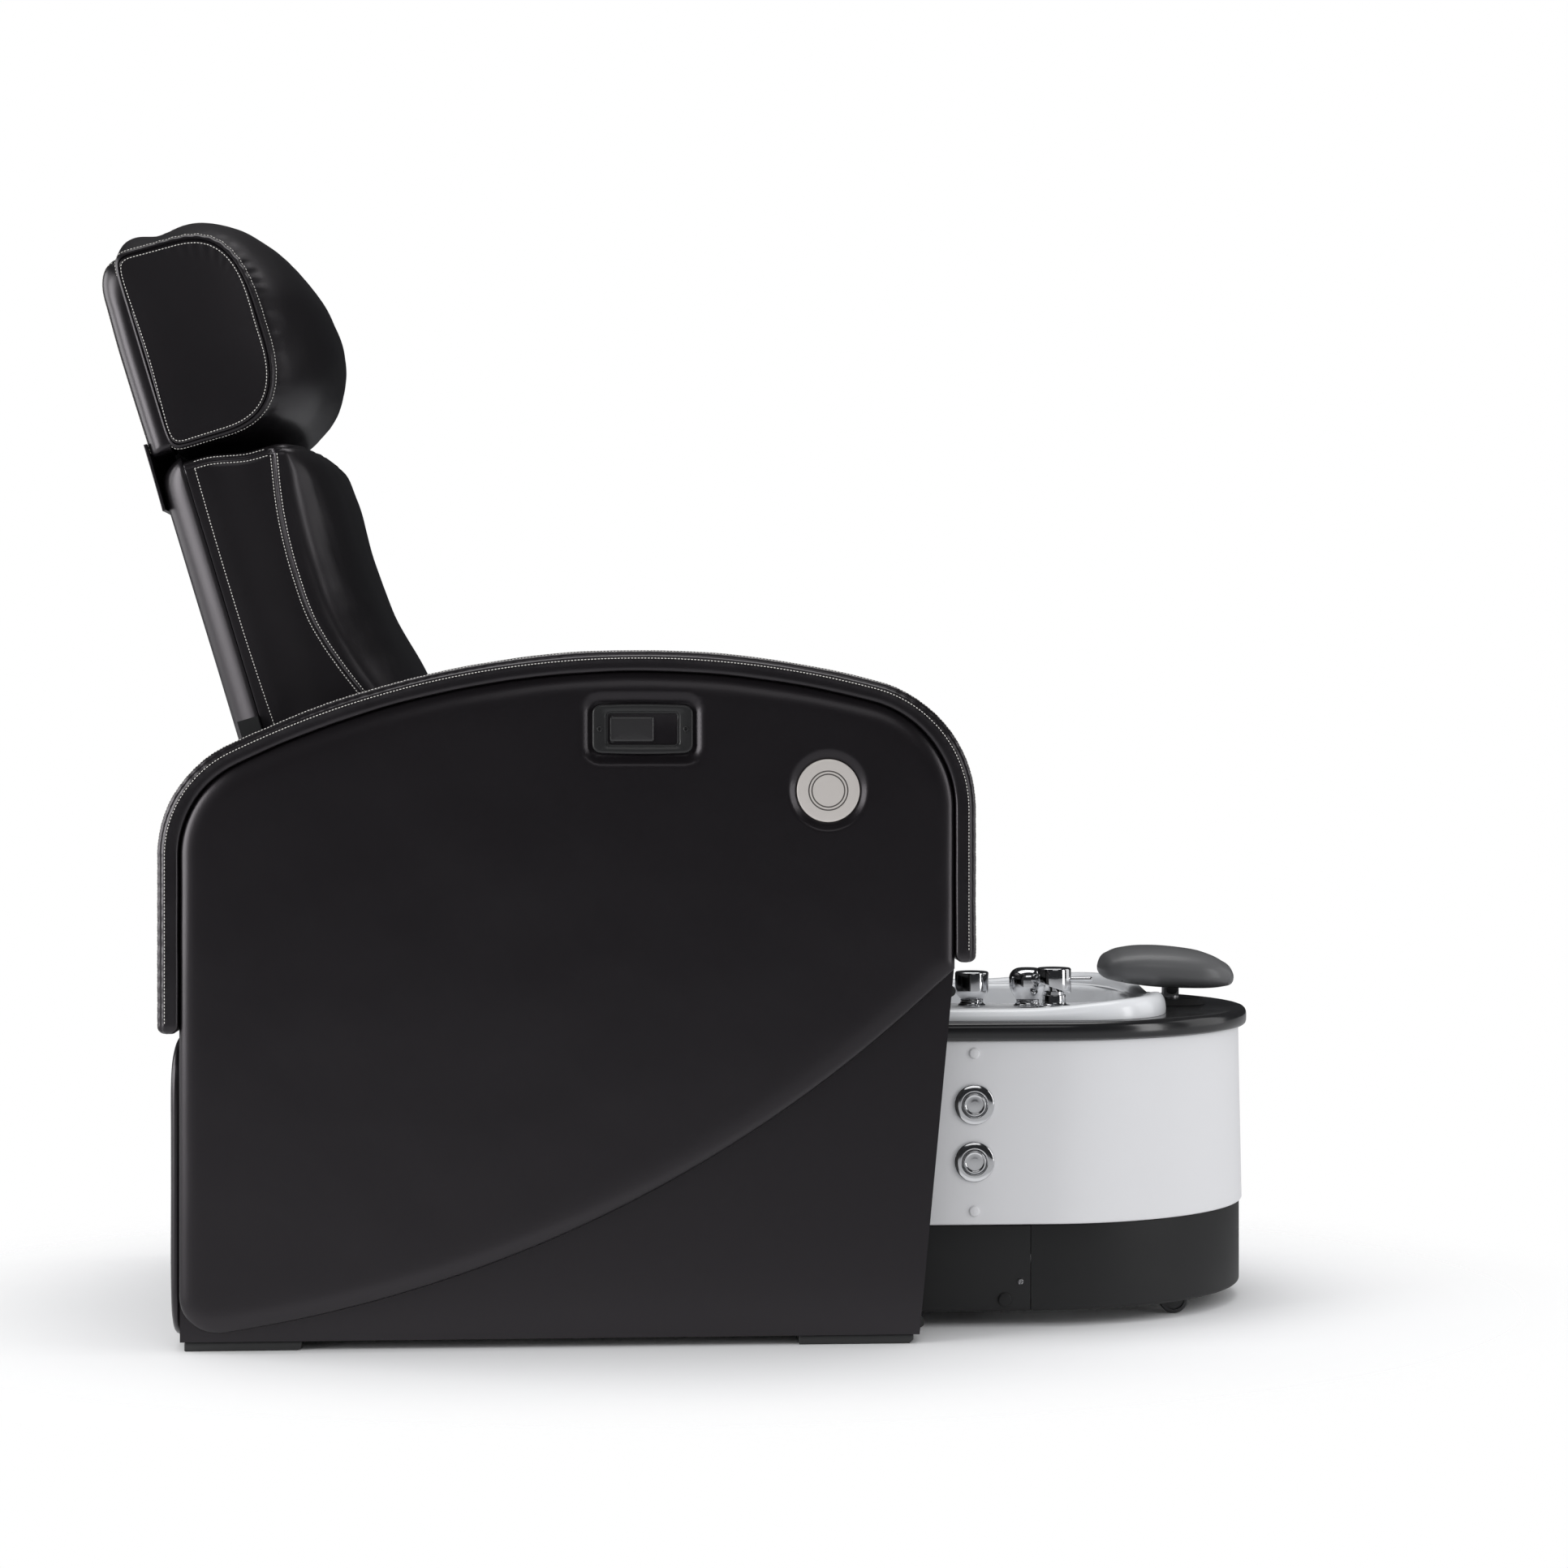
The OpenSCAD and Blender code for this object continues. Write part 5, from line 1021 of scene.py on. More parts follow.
def back_section(half, base, seam, crown):
    """Loop round one section of the back: flat rear, boxed side, then the crowned front panel."""
    side = [(base, half - 0.9), (base + 0.4, half - 0.3), (base + 1.5, half)]
    side += [(base + 4 + (seam - base - 11) * t, half + 1.6 * math.sin(math.pi * t))
             for t in np.linspace(0, 1, BACK_SIDE - 8)]
    side += [(seam - 4, half + 0.1), (seam - 2, half - 0.6), (seam, half - 2.2), (seam + 2.2, half - 1.2),
             (seam + 4.5, half - 0.6)]
    front = [(seam + 6 + (crown - seam - 6) * math.sin(a) ** 0.78, (half - 0.8) * math.cos(a))
             for a in np.radians(np.linspace(4.5, 90, BACK_FRONT))]
    half_loop = side + front
    rear_run = [(base, y) for y in np.linspace(-half + 18, half - 18, BACK_REAR)]
    return half_loop + [(x, -y) for x, y in half_loop[-2::-1]] + rear_run


def back_cushion():
    """Grid of the back before it settles: waisted, drawn in under its top seam and tucked in low down."""
    rows = []
    for up in BACK_RIB:
        z = up + hang_low
        roll = float(rolled(min(up, back_l - up), 14.0))
        sewn_in = 1.6 * float(near(back_l - up - 9.5, 1.8))
        tuck = 18 * (1 - float(step(z - 26, 36)))
        half = back_half - 5 * math.sin(math.pi * up / back_l) - roll - sewn_in - tuck
        seam = float(smooth_table(z, BACK_SEAM)) - roll - sewn_in
        crown = float(smooth_table(z, BACK_CROWN)) - 1.5 * roll - 1.5 * sewn_in
        rows.append([(x, y, z) for x, y in back_section(half, shell_x + fit, seam, crown)])
    return np.array(rows)


flat_back = back_cushion()
back_grid = kept_low(settled("back_form", flat_back, 6.0), flat_back, 0, -10.0, 60.0)
back_grid[..., 1] = np.clip(back_grid[..., 1], -back_half - 3, back_half + 3)
back_grid[..., 2] = np.clip(back_grid[..., 2], hang_low - 2, back_top + 2)
back_grid = on_back(slack(back_grid, height=1.3, size=60.0, seed=8.0, keep=step(back_grid[..., 0] - 40, 60)))
piece("back_cover_front", [back_grid], cushion_cover, "back", ["back_cushion"])
seam_at, last = BACK_SIDE - 3, 2 * (BACK_SIDE + BACK_FRONT) - 2
columns = seam_at - 2, last - seam_at + 2, seam_at + 2, last - seam_at - 2
back_rows = [row_on(back_grid, j=j, lo=6, hi=-8, lift=0.3) for j in columns]
back_rows += [row_on(back_grid, j=j, lo=6, hi=-8) for j in (4, last - 4)]
back_rows += [row_on(back_grid, i=i, lo=lo, hi=hi, lift=0.3)
              for i in (-9, -4) for lo, hi in ((4, 15), (last - 14, last - 3))]
sewn("back_stitches", back_rows, "back", seed=31)
print("back cushion:", back_grid.shape)

# %% [markdown]
# ## Headrest
# The pillow is one crowned panel sewn round to two flat side pieces, and a smooth sleeve behind it slides
# over the head board. The crown's panel is longer than the side piece that it is sewn to, so it gathers in
# small puckers along that seam. A sewn flap hangs from the sleeve over the top of the back.


# %% headrest pillow
HEAD_TOP = head_low + head_l
HEAD_BELLY = head_low + 0.47 * head_l
HEAD_COUNT, HEAD_HALF, HEAD_BOW = 216, 278.0, 2.7
HEAD_RIB = np.array([0.0, 0.4, 1.0, 2.0, 3.4, 5.4, 8.5, 13, 18, 24, 31, 40, 50, 62, 76, 92, 110, 130, 152,
                     176, 202, 228, 254])
SIDE_PIECE = (0.02, 0.18, 0.36, 0.53, 0.68, 0.8, 0.9, 1.0)
SIDE_SEAM = ((6.6, -0.1), (5.4, -1.0), (4.6, -1.6), (3.8, -0.7))


def head_section(t, share, inset):
    """Points of the pillow's side outline at angles t: square behind, round in front, fullest low down."""
    ahead, above = np.cos(t) > 0, np.sin(t) > 0
    a = np.where(ahead, head_depth - head_mid - inset + head_crown * share, head_mid + 11 - inset)
    rear = 1 - 0.3 * step(-np.cos(t), 0.9)
    b = np.where(above, HEAD_TOP + 4 - HEAD_BELLY - inset + 46 * share * rear,
                 HEAD_BELLY - head_low - inset + 14 * share)
    power = np.where(~ahead, 12.0, np.where(above, 3.1 - 1.3 * share, 2.7 - 0.4 * share))
    c, s = np.cos(t), np.sin(t)
    return np.stack([shell_x + fit + head_mid + a * np.sign(c) * abs(c) ** (2 / power),
                     HEAD_BELLY + b * np.sign(s) * abs(s) ** (2 / power)], -1)


def head_angles(count):
    """Angles that space the points of the outline evenly, worked out finely near its square corners."""
    near_corner = np.arcsin(np.linspace(0, 1, 400) ** 6)
    fine = np.concatenate([np.linspace(0, math.pi, 2001), math.pi - near_corner, math.pi / 2 + near_corner])
    fine = np.unique(np.concatenate([-fine, fine]))
    run = run_of(head_section(fine, 0.35, 0.0))
    return np.interp(np.linspace(0, run[-1], count, endpoint=False), run, fine)


def across_rib(half, rib, middle):
    """Places across a cushion: close together near its ends, as rib says, with the middle given."""
    return np.concatenate([-half + rib, middle, half - rib[::-1]])


def head_rows():
    """Grid of the pillow from its right side piece over the crowned panel to its left one."""
    turn = head_angles(HEAD_COUNT)
    outline = head_section(turn, 0.0, 0.0)
    middle = np.array([shell_x + 76, HEAD_BELLY + 4])
    inward = middle - outline
    inward /= np.linalg.norm(inward, axis=1, keepdims=True)
    panel = outline + inward * 9.0
    face = HEAD_HALF - 0.8
    flat = [(middle + (panel - middle) * share, face + 2.6 * (1 - share**2)) for share in SIDE_PIECE]
    flat += [(outline + inward * inset, face + proud) for inset, proud in SIDE_SEAM]
    rows = [[(x, -y, z) for x, z in ring] for ring, y in flat]
    for y in across_rib(HEAD_HALF, HEAD_RIB, [0.0]):
        share = 1 - np.minimum(1, abs(y) / HEAD_HALF) ** HEAD_BOW
        ring = head_section(turn, float(share), float(rolled(HEAD_HALF - abs(y), 3.0)))
        rows.append([(x, y, z) for x, z in ring])
    rows += [[(x, y, z) for x, z in ring] for ring, y in flat[::-1]]
    return np.array(rows), len(flat)


flat_head, side_rings = head_rows()
head_grid = settled("headrest_form", flat_head, 7.0, shrink=0.99)
head_grid = kept_low(head_grid, flat_head, 0, -20.0, 30.0)
away = HEAD_HALF - abs(flat_head[..., 1])
head_grid = head_grid + (flat_head - head_grid) * near(away, 14.0)[..., None]
ring = np.arange(HEAD_COUNT)[None]
wave = np.sin(ring * 1.35 + 2.0 * np.sin(ring / 9.0) + np.sign(flat_head[..., 1]))
high = 0.25 + 0.75 * step(flat_head[..., 2] - HEAD_BELLY - 30, 60)
gather = 0.8 * high * wave * near(away - 10, 9.0) * (away > 0.4) * step(flat_head[..., 0] + 10, 30)
head_grid = head_grid + normals_of(head_grid) * gather[..., None]
loose = step(flat_head[..., 0] - 10, 50) * step(away, 25)
head_grid = slack(head_grid, height=1.5, size=48.0, seed=12.0, keep=loose)
head_grid = on_back(head_grid)
piece("headrest_cover", [head_grid], cushion_cover, "headrest", ["headrest_pillow"])
ahead = np.where(flat_head[0][:, 0] > shell_x + 12)[0]
closed = np.roll(head_grid, -int(ahead[0]), 1)
far_rings = len(head_grid) - side_rings
pillow_rows = [row_on(closed, i=i, hi=hi, lift=0.45)
               for i, hi in ((side_rings - 5, None), (side_rings + 5, len(ahead)),
                             (far_rings + 4, None), (far_rings - 6, len(ahead)))]
sewn("headrest_stitches", pillow_rows, "headrest", seed=41)
print("headrest:", head_grid.shape)


# %% [markdown]
# ### Sleeve and flap
# The pillow is sewn to a sleeve that slides on the board, and a loose flap hangs from the sleeve's hem. Both
# are closed skins with a real thickness, because a single sheet would show no edge and no fold.


# %% headrest sleeve and flap
SLEEVE_HALF, FLAP_HALF = back_half - 3.6, 267.0
FLAP_RIB = np.array([0, 0.5, 1.5, 3.5, 6])
FLAP_UP, FLAP_L = 18, 86


def sleeve_rows():
    """Grid of the sleeve: up its front, over its rounded top, down its rear and round its hem."""
    rows = []
    for y in across_rib(SLEEVE_HALF, HEAD_RIB[:20], [-40.0, 0.0, 40.0]):
        inset = float(rolled(1.2 * (SLEEVE_HALF - abs(y)), 24.0))
        low = head_low + 0.4 * inset
        top = HEAD_TOP - 6 + 32 * float(1 - (abs(y) / SLEEVE_HALF) ** HEAD_BOW) - inset
        rear = -back_rear + inset
        turn = np.linspace(math.pi / 2, math.pi, 16)
        loop = [(shell_x - 9, z) for z in np.linspace(low, top, 20)]
        loop += list(zip(rear + 24 + 24 * np.cos(turn), top - 44 + 44 * np.sin(turn)))
        loop += [(rear - 0.9 * math.sin(math.pi * t), top - 44 + (low + 5 - top + 44) * t)
                 for t in np.linspace(0, 1, 24)[1:]]
        loop += arc((rear + 5, low + 5), 5, math.pi, 1.5 * math.pi, 6)[1:].tolist()
        rows.append([(x, y, z) for x, z in loop])
    return np.array(rows)


def flap_rows():
    """Grid of the flap: down its rear layer and up its front one, swaying a little along its hem."""
    rows = []
    down = np.linspace(0, 1, 22)
    for y in across_rib(FLAP_HALF, FLAP_RIB, np.linspace(-250, 250, 41)):
        inset = float(rolled(FLAP_HALF - abs(y), 2.4))
        sway = 1.4 + 0.6 * (1.6 * math.sin(y / 83) + 0.8 * math.sin(y / 31))
        layers = ((-back_rear - 0.6 - inset * 0.4, down), (-back_rear - 5.0 + inset * 0.4, down[::-1]))
        rows.append([(x - sway * t * t, y, head_low + FLAP_UP - FLAP_L * t + (inset if t > 0.97 else 0))
                     for x, run in layers for t in run])
    return np.array(rows)


sleeve_grid, flap_grid = on_back(slack(sleeve_rows(), height=1.0, size=70.0, seed=14.0)), on_back(flap_rows())
piece("headrest_sleeve_cover", [sleeve_grid, flap_grid], glossy_cover, "headrest", ["headrest_sleeve"])
hems = [row_on(sleeve_grid, i=i, lo=20, hi=60, lift=0.15) for i in (8, len(sleeve_grid) - 9)]
hems.append(row_on(flap_grid, j=26, lo=3, hi=-3))
hems += [row_on(flap_grid, i=i, lo=26, hi=42) for i in (4, len(flap_grid) - 5)]
sewn("headrest_sleeve_stitches", hems, "headrest", seed=43)


# %% [markdown]
# ### Rear shell
# Behind the back is a padded tray with a broad bevel. Loops of growing depth and inset give its bevel and
# its flat middle in one skin, where a bevelled box would pinch at the corners.


# %% rear shell of the back
TRAY_EDGE = ((-0.1, 1.2), (-0.8, 0.3), (-2.6, 0.0), (-6, 0.9), (-11, 2.8), (-16, 5.2), (-21, 8.2),
             (-25.5, 11.4), (-29.5, 15.0), (-32.6, 18.8), (-34.6, 23), (-35.6, 30), (-36, 50), (-36.2, 110))


def tray_rows():
    """Grid of the rear shell: waisted loops of growing depth and inset, with a broad bevel."""
    half, low, high = back_half - 1.2, 36.0, back_top + 9
    rows = []
    for x, i in TRAY_EDGE:
        loop = super_loop(half - i, (high - low) / 2 - i, 26 if i < 24 else 9, 220)
        up = np.clip((loop[:, 1] + (high - low) / 2) / (high - low), 0, 1)
        waist = 1 - 4.5 / half * np.sin(np.pi * up)
        rows.append([(shell_x + x, y * w, (high + low) / 2 + z) for (y, z), w in zip(loop, waist)])
    return np.array(rows)


tray_grid = on_back(slack(tray_rows(), height=0.8, size=80.0, seed=15.0))
piece("back_rear_cover", [tray_grid], glossy_cover, "back", ["back_cover"])

# %% [markdown]
# ## The foot tub
# The tub is a set of shells round one plan: straight sides and a half-round nose. The skirt and the kick
# panels are thin walls, the rim is a bull-nosed gloss trim, and the basin is one gel-coated moulding with a
# rolled lip, a shelf for the fittings and a bowl. Each is swept round the plan from its own section.


# %% tub walls
def tub_plan(i, from_x=tub_x0, count=72, flare=0.0):
    """Open line round the tub at an inset i, from its right rear end round the nose to the left one."""
    a = np.linspace(-math.pi / 2, math.pi / 2, count)
    bulge = flare * np.cos(a) ** 2
    nose = np.stack([tub_xs + (nose_x - tub_xs - i + bulge) * np.cos(a), (tub_half - i) * np.sin(a)], -1)
    side = np.linspace(from_x, tub_xs, 14)[:-1]
    right, left = (np.column_stack([run, np.full(13, y)])
                   for run, y in ((side, i - tub_half), (side[::-1], tub_half - i)))
    return np.vstack([right, nose, left])


NOSE_OUT = {"rim": 6.5, "skirt": 4.5, "kick": 11.0}
SKIRT_LEAN = 5.0


def swept_round(section, flare, from_x=tub_x0):
    """Grid of a closed section (inset, height) swept round the tub's plan, flared at the nose."""
    lines = [tub_plan(i, from_x, flare=flare(z)) for i, z in section]
    return np.array([[(*line[k], z) for line, (_, z) in zip(lines, section)] for k in range(len(lines[0]))])


def skirt_flare(z):
    """How far the skirt bulges at its nose at a height."""
    return NOSE_OUT["skirt"] + SKIRT_LEAN * (rim_z - z) / (rim_z - skirt_z)


def skirt_section():
    """Section of the skirt: its inner face down, its rounded foot, then its outer face up."""
    back, foot = skirt_in + wall, skirt_z + fit
    return [(back, rim_z - fit), (back, skirt_z + 6), (back - 0.5, foot),
            *arc((skirt_in + 3.0, foot + 3.0), 3.0, 1.5 * math.pi, math.pi, 5).tolist(),
            *((skirt_in, z) for z in np.linspace(skirt_z + 8, rim_z - 4, 14)),
            (skirt_in + 0.3, rim_z - 1), (skirt_in + 1.2, rim_z - fit)]


def kick_section(top):
    """Section of a kick panel: its inner face, its rounded foot, then its outer face."""
    back, foot, face = kick_in + wall, kick_z + wall, kick_in + 6
    return [(back, top), (back, foot), (face, foot), (face + 0.2, kick_z + 2), (face, kick_z),
            *arc((kick_in + 5.0, kick_z + 5.0), 5.0, 1.5 * math.pi, math.pi, 6).tolist(),
            (kick_in, kick_z + 40), (kick_in, kick_z + 75), (kick_in, top - 3), (kick_in + 0.4, top - 0.8),
            (kick_in + 1.4, top)]


piece("tub_skirt", [swept_round(skirt_section(), skirt_flare)], skirt_gelcoat, "tub", ["skirt"])
front_grid = swept_round(kick_section(skirt_z), lambda z: NOSE_OUT["kick"], from_x=kick_joint + 0.6)
piece("kick_front_panel", [front_grid], kick_plastic, "tub", ["kick_front"])
KICK_RIB = ((tub_x0, 0), (tub_x0 + 2, 0), (tub_x0 + 120, 0), (kick_joint - 100, 0), (kick_joint - 1.2, 0),
            (kick_joint - 0.4, 0.3), (kick_joint, 0.9))
for side, label in SIDES:
    rows = [[(x, side * (tub_half - i - e), z) for i, z in kick_section(skirt_z)] for x, e in KICK_RIB]
    piece(f"kick_side_panel_{label}", [np.array(rows)], kick_plastic, "tub", [f"kick_{label}"])


# %% [markdown]
# ### Rim and basin
# The basin is one moulding with its lip rolled over the rim, a sloping shelf and a bowl. Each loop of it has
# the same number of points, counted from the toe, so one skin can pass from the round-nosed plan to the
# bowl's rounded box without a twist, which joining separate solids would not give.


# %% rim and basin
TOE_POWER, LOOP = 3.3, 288
TOE_R, HEEL_R = 110.0, 80.0
BOWL_DRAFT, BOWL_R, BASIN_WALL, LIP_RISE = 20.0, 50.0, 5.0, 11.5
deck_under = deck_top - 8.0


def basin_plan(i, count=96):
    """Closed plan of the basin at an inset i from the rim's opening, from its toe end round."""
    a = np.linspace(-math.pi / 2, math.pi / 2, count)
    c, s = np.cos(a), np.sin(a)
    toe = np.stack([tub_xs + (basin_a - i) * abs(c) ** (2 / TOE_POWER),
                    (basin_half - i) * np.sign(s) * abs(s) ** (2 / TOE_POWER)], -1)
    heel_x = tub_x0 + 28 + basin_corner
    y = basin_half - basin_corner
    top = np.stack([np.linspace(tub_xs, heel_x, 24)[1:-1], np.full(22, basin_half - i)], -1)
    left = arc((heel_x, y), basin_corner - i, math.pi / 2, math.pi, 12)
    right = arc((heel_x, -y), basin_corner - i, math.pi, 1.5 * math.pi, 12)
    across = np.stack([np.full(28, heel_x - basin_corner + i), np.linspace(y, -y, 30)[1:-1]], -1)
    return np.vstack([toe, top, left, across, right, top[::-1] * [1, -1]])


def bowl_plan(i):
    """Closed plan of the bowl at an inset i, from the right corner of its toe end round."""
    toe_x, heel_x = bowl_x1 - TOE_R, bowl_x0 + HEEL_R
    corners = ((toe_x, bowl_y0 + TOE_R, TOE_R, -0.5, 16), (toe_x, bowl_y1 - TOE_R, TOE_R, 0, 16),
               (heel_x, bowl_y1 - HEEL_R, HEEL_R, 0.5, 12), (heel_x, bowl_y0 + HEEL_R, HEEL_R, 1, 12))
    return np.vstack([arc((x, y), r - i, a * math.pi, (a + 0.5) * math.pi, count)
                      for x, y, r, a, count in corners])


def level(ring, z):
    """A flat ring at a height, which may differ from point to point."""
    return np.column_stack([ring, np.broadcast_to(z, len(ring))])


def rim_loop(i, z):
    """Loop round the outside of the rim at an inset and a height."""
    line = tub_plan(i, tub_x0 + i, count=110, flare=NOSE_OUT["rim"])
    closing = np.stack([np.full(60, tub_x0 + i), np.linspace(tub_half - i, -(tub_half - i), 62)[1:-1]], -1)
    return level(even(np.vstack([line, closing]), LOOP, (nose_x, 0)), z)


def opening_loop(i, z):
    """Loop round the rim's opening at an inset and a height."""
    return level(even(basin_plan(i), LOOP, (tub_xs + basin_a, 0)), z)


def bowl_loop(i, z):
    """Loop round the bowl at an inset and a height."""
    return level(even(bowl_plan(i), LOOP, (bowl_x1, (bowl_y0 + bowl_y1) / 2)), z)


def lip_loop(i, share):
    """Loop of the rolled lip, which stands higher at the two shoulders of its toe end."""
    ring = opening_loop(i, 0)[:, :2]
    rise = LIP_RISE * step(ring[:, 0] - (tub_xs - 40), 180.0) * step(abs(ring[:, 1]), 150.0)
    return level(ring, lip_low + share * (lip_top - lip_low + rise))


def bowl_side(out, shares, angles):
    """Loops down the bowl's wall and round into its floor, set out from its face by a thickness."""
    bend = bowl_floor - out + BOWL_R
    rows = [bowl_loop(BOWL_DRAFT * t - out, deck_under - (deck_under - bend) * t) for t in shares]
    return rows + [bowl_loop(BOWL_DRAFT - out + BOWL_R * (1 - math.cos(a)), bend - BOWL_R * math.sin(a))
                   for a in np.radians(angles)]


RIM_EDGE = [(7.0, 0), (3.2, 0.6), (1.0, 2.6), (0.1, 5.6), (0, 10), (0, 14), (0.4, 17.4), (1.7, 20.4),
            (4.0, 22.6), (7.0, 23.6), (10.5, 24)]
rim_grid = np.array([opening_loop(0.6, rim_z + 0.2)] + [rim_loop(i, rim_z + up) for i, up in RIM_EDGE]
                    + [opening_loop(0.6, rim_top)])
points, faces = joined([rim_grid], caps=False)
top_row = (len(rim_grid) - 1) * LOOP
faces += [(top_row + j, top_row + (j + 1) % LOOP, (j + 1) % LOOP, j) for j in range(LOOP)]
seated(shell("tub_rim", points, faces, rim_gloss), "tub", ["rim"])

LIP = [(-8, 0), (-8.4, 0.18), (-8, 0.38), (-6.9, 0.6), (-5, 0.78), (-2.4, 0.92), (1, 0.99), (5, 1.0),
       (9, 0.99), (12, 0.94), (14.4, 0.84), (16, 0.68), (16.9, 0.5), (17.4, 0.3)]
BOWL_EDGE = [(-9.0, 0), (-5.6, 0.4), (-2.6, 1.8), (-0.7, 4.4), (0.0, 8.0)]
basin_rows = bowl_side(BASIN_WALL, np.linspace(0.05, 1, 8), np.linspace(15, 90, 6))[::-1]
basin_rows.append(bowl_loop(-BASIN_WALL, deck_under))
basin_rows += [opening_loop(i, z) for i, z in (
    (9.0, deck_under), (2.0, rim_top + 1), (2.0, rim_z + 6), (0.9, rim_z + 5), (0.9, lip_low))]
basin_rows += [lip_loop(i, share) for i, share in LIP]
basin_rows += [opening_loop(i, deck_top + up) for i, up in ((18.6, 1.4), (20.5, 0.3), (23, 0))]
basin_rows += [bowl_loop(i, deck_top - down) for i, down in BOWL_EDGE]
basin_rows += bowl_side(0.0, np.linspace(0.12, 1, 12), np.linspace(8, 90, 11))
middle = np.array([(bowl_x0 + bowl_x1) / 2, (bowl_y0 + bowl_y1) / 2, bowl_floor])
floor_loop = basin_rows[-1]
basin_rows += [middle + (floor_loop - middle) * t - np.array([0, 0, 2.0 * (1 - t)])
               for t in (0.8, 0.55, 0.3, 0.1)]
piece("basin_moulding", [np.array(basin_rows)], gelcoat, "tub", ["basin"], sharp=50)
print("rim and basin:", len(basin_rows), "loops of", LOOP)

# %% [markdown]
# ## Fittings
# The fittings are turned or drawn parts in chrome: two push buttons on the skirt, and on the shelf a lever
# mixer, a spout and a hand sprayer. Every edge is eased, because chrome shows an edge only by the light
# that it turns.


# %% push buttons, caps and screws
BEZEL_PROFILE = [(15.6, -18.0), (17.6, -18.0), (17.6, 0.0), (26.0, 0.2), (26.0, 1.8), (24.8, 3.4),
                 (21.0, 4.6), (17.4, 5.2), (16.0, 4.6), (15.6, 3.0)]
PUSH_PROFILE = [(0.01, -12.0), (14.8, -12.0), (14.8, 5.6), (13.8, 7.0), (12.2, 7.0), (10.8, 6.2),
                (5.0, 6.5), (0.01, 6.6)]
CAP_PROFILE = [(0.01, -3.0), (7.0, -3.0), (7.0, 1.2), (5.6, 2.7), (0.01, 3.4)]
KICK_CAP_PROFILE = [(0.01, -4.0), (9.0, -4.0), (9.0, 1.6), (7.6, 3.0), (0.01, 3.0)]
HEAD_DOME = ((1, 0.2), (0.93, 0.6), (0.75, 0.9), (0.6, 1), (0.45, 1), (0.3, 1), (0.15, 1), (0.02, 1))
OUTWARD = {-1: "-y", 1: "y"}

bezels = [closed_up(turned(eased(BEZEL_PROFILE, 0.8), (button_x, -button_y, z), "-y", 72))
          for z in (jet_z, light_z)]
piece("button_escutcheons", bezels, chrome, "tub", ["button_bezels"], caps=False)
for z, body, cad in ((jet_z, "jet_push", "jet_button"), (light_z, "light_push", "light_button")):
    push = turned(eased(PUSH_PROFILE, 0.6), (button_x, -button_y, z), "-y", 64)
    piece(f"{cad}_cap", [push], chrome, body, [cad])

caps = [turned(eased(CAP_PROFILE, 0.8), (button_x, side * button_y, z), OUTWARD[side], 40)
        for side in (-1, 1) for z in cap_zs]
piece("skirt_screw_caps", caps, skirt_gelcoat, "tub", ["skirt_caps"])


def cross_head(x, y, z, r, proud, way):
    """Domed screw head with a cross recess, facing way along Y."""
    rows = []
    angles = np.linspace(0, 2 * math.pi, 32, endpoint=False)
    for ring, h in [(r, -1.0)] + [(share * r, up * proud) for share, up in HEAD_DOME]:
        u, v = ring * np.cos(angles), ring * np.sin(angles)
        cross = ((abs(u) < 0.15 * r) | (abs(v) < 0.15 * r)) & (ring < 0.62 * r)
        rows.append(np.stack([x + u, y + way * (h - 0.9 * proud * cross), z + v], -1))
    return np.array(rows)


kick_y = tub_half - kick_in
screws = [cross_head(kick_screw_x, side * kick_y, kick_screw_z, 4.0, 2.0, side) for side in (-1, 1)]
screws += [turned(eased(KICK_CAP_PROFILE, 0.9), (kick_cap_x, side * kick_y, kick_cap_z), OUTWARD[side], 40)
           for side in (-1, 1)]
kick_screws = piece("kick_panel_screws", screws, zinc, "tub", ["kick_screws"])
second_finish(kick_screws, kick_plastic, lambda x, y, z: z < (kick_screw_z + kick_cap_z) / 2)
latch_screws = [cross_head(x, -latch_face, latch_z, 3.5, 1.5, -1) for x in latch_screw_xs]
piece("latch_screw_heads", latch_screws, charcoal_plastic, "chair", ["latch_screws"])

# %% [markdown]
# ### Mixer, spout and sprayer
# Each stands on the shelf and is turned from one profile of radius and height. The lever and the nozzle are
# short rods of rings that start inside their caps, as they are soldered in on real fittings.


# %% mixer, spout and sprayer
FLANGE_PROFILE = [(0.01, -30.0), (9.5, -30.0), (9.5, 0.3), (24.5, 0.3), (24.5, 1.6), (23.2, 5.2),
                  (16.5, 6.6), (15.0, 9.0), (15.0, 19.0), (0.01, 19.0)]
LEVER_CAP = ((14, 49, 0), (14, 24, 1), (21, 23.5, 1), (21.8, 24.3, 1), (22, 25.4, 1), (22, 40, 0),
             (22, 51.6, 0), (21.5, 53.0, 0), (20.4, 53.8, 0), (19, 54, 0), (9, 54.3, 0), (0.01, 54.4, 0))
LEVER_ROD = ((19, 3.0), (22, 3.0), (34, 2.9), (46, 3.1), (48.4, 3.0), (49.6, 2.2), (50, 1.0))
COLLAR_PROFILE = [(7.2, -30.0), (9.5, -30.0), (9.5, 0.3), (18.0, 0.3), (18.0, 2.2), (15.6, 4.0),
                  (15.0, 6.0), (15.0, 9.4), (13.8, 10.0), (7.2, 10.0)]
COLUMN_PROFILE = [(0.01, -24.0), (6.9, -24.0), (6.9, 10.4), (15.6, 10.4), (20.4, 16.4), (22.0, 20.0),
                  (22.0, 44.0), (20.6, 45.6), (17.0, 46.0), (0.01, 46.2)]
NOZZLE = ((10, 9.6), (24, 10.0), (60, 10.0), (77, 10.0), (78.5, 11.0), (80, 11.5), (92, 11.5), (93.4, 11.0),
          (95, 9.6), (95, 8.2), (91, 8.0))
NOZZLE_DROP = math.radians(8)
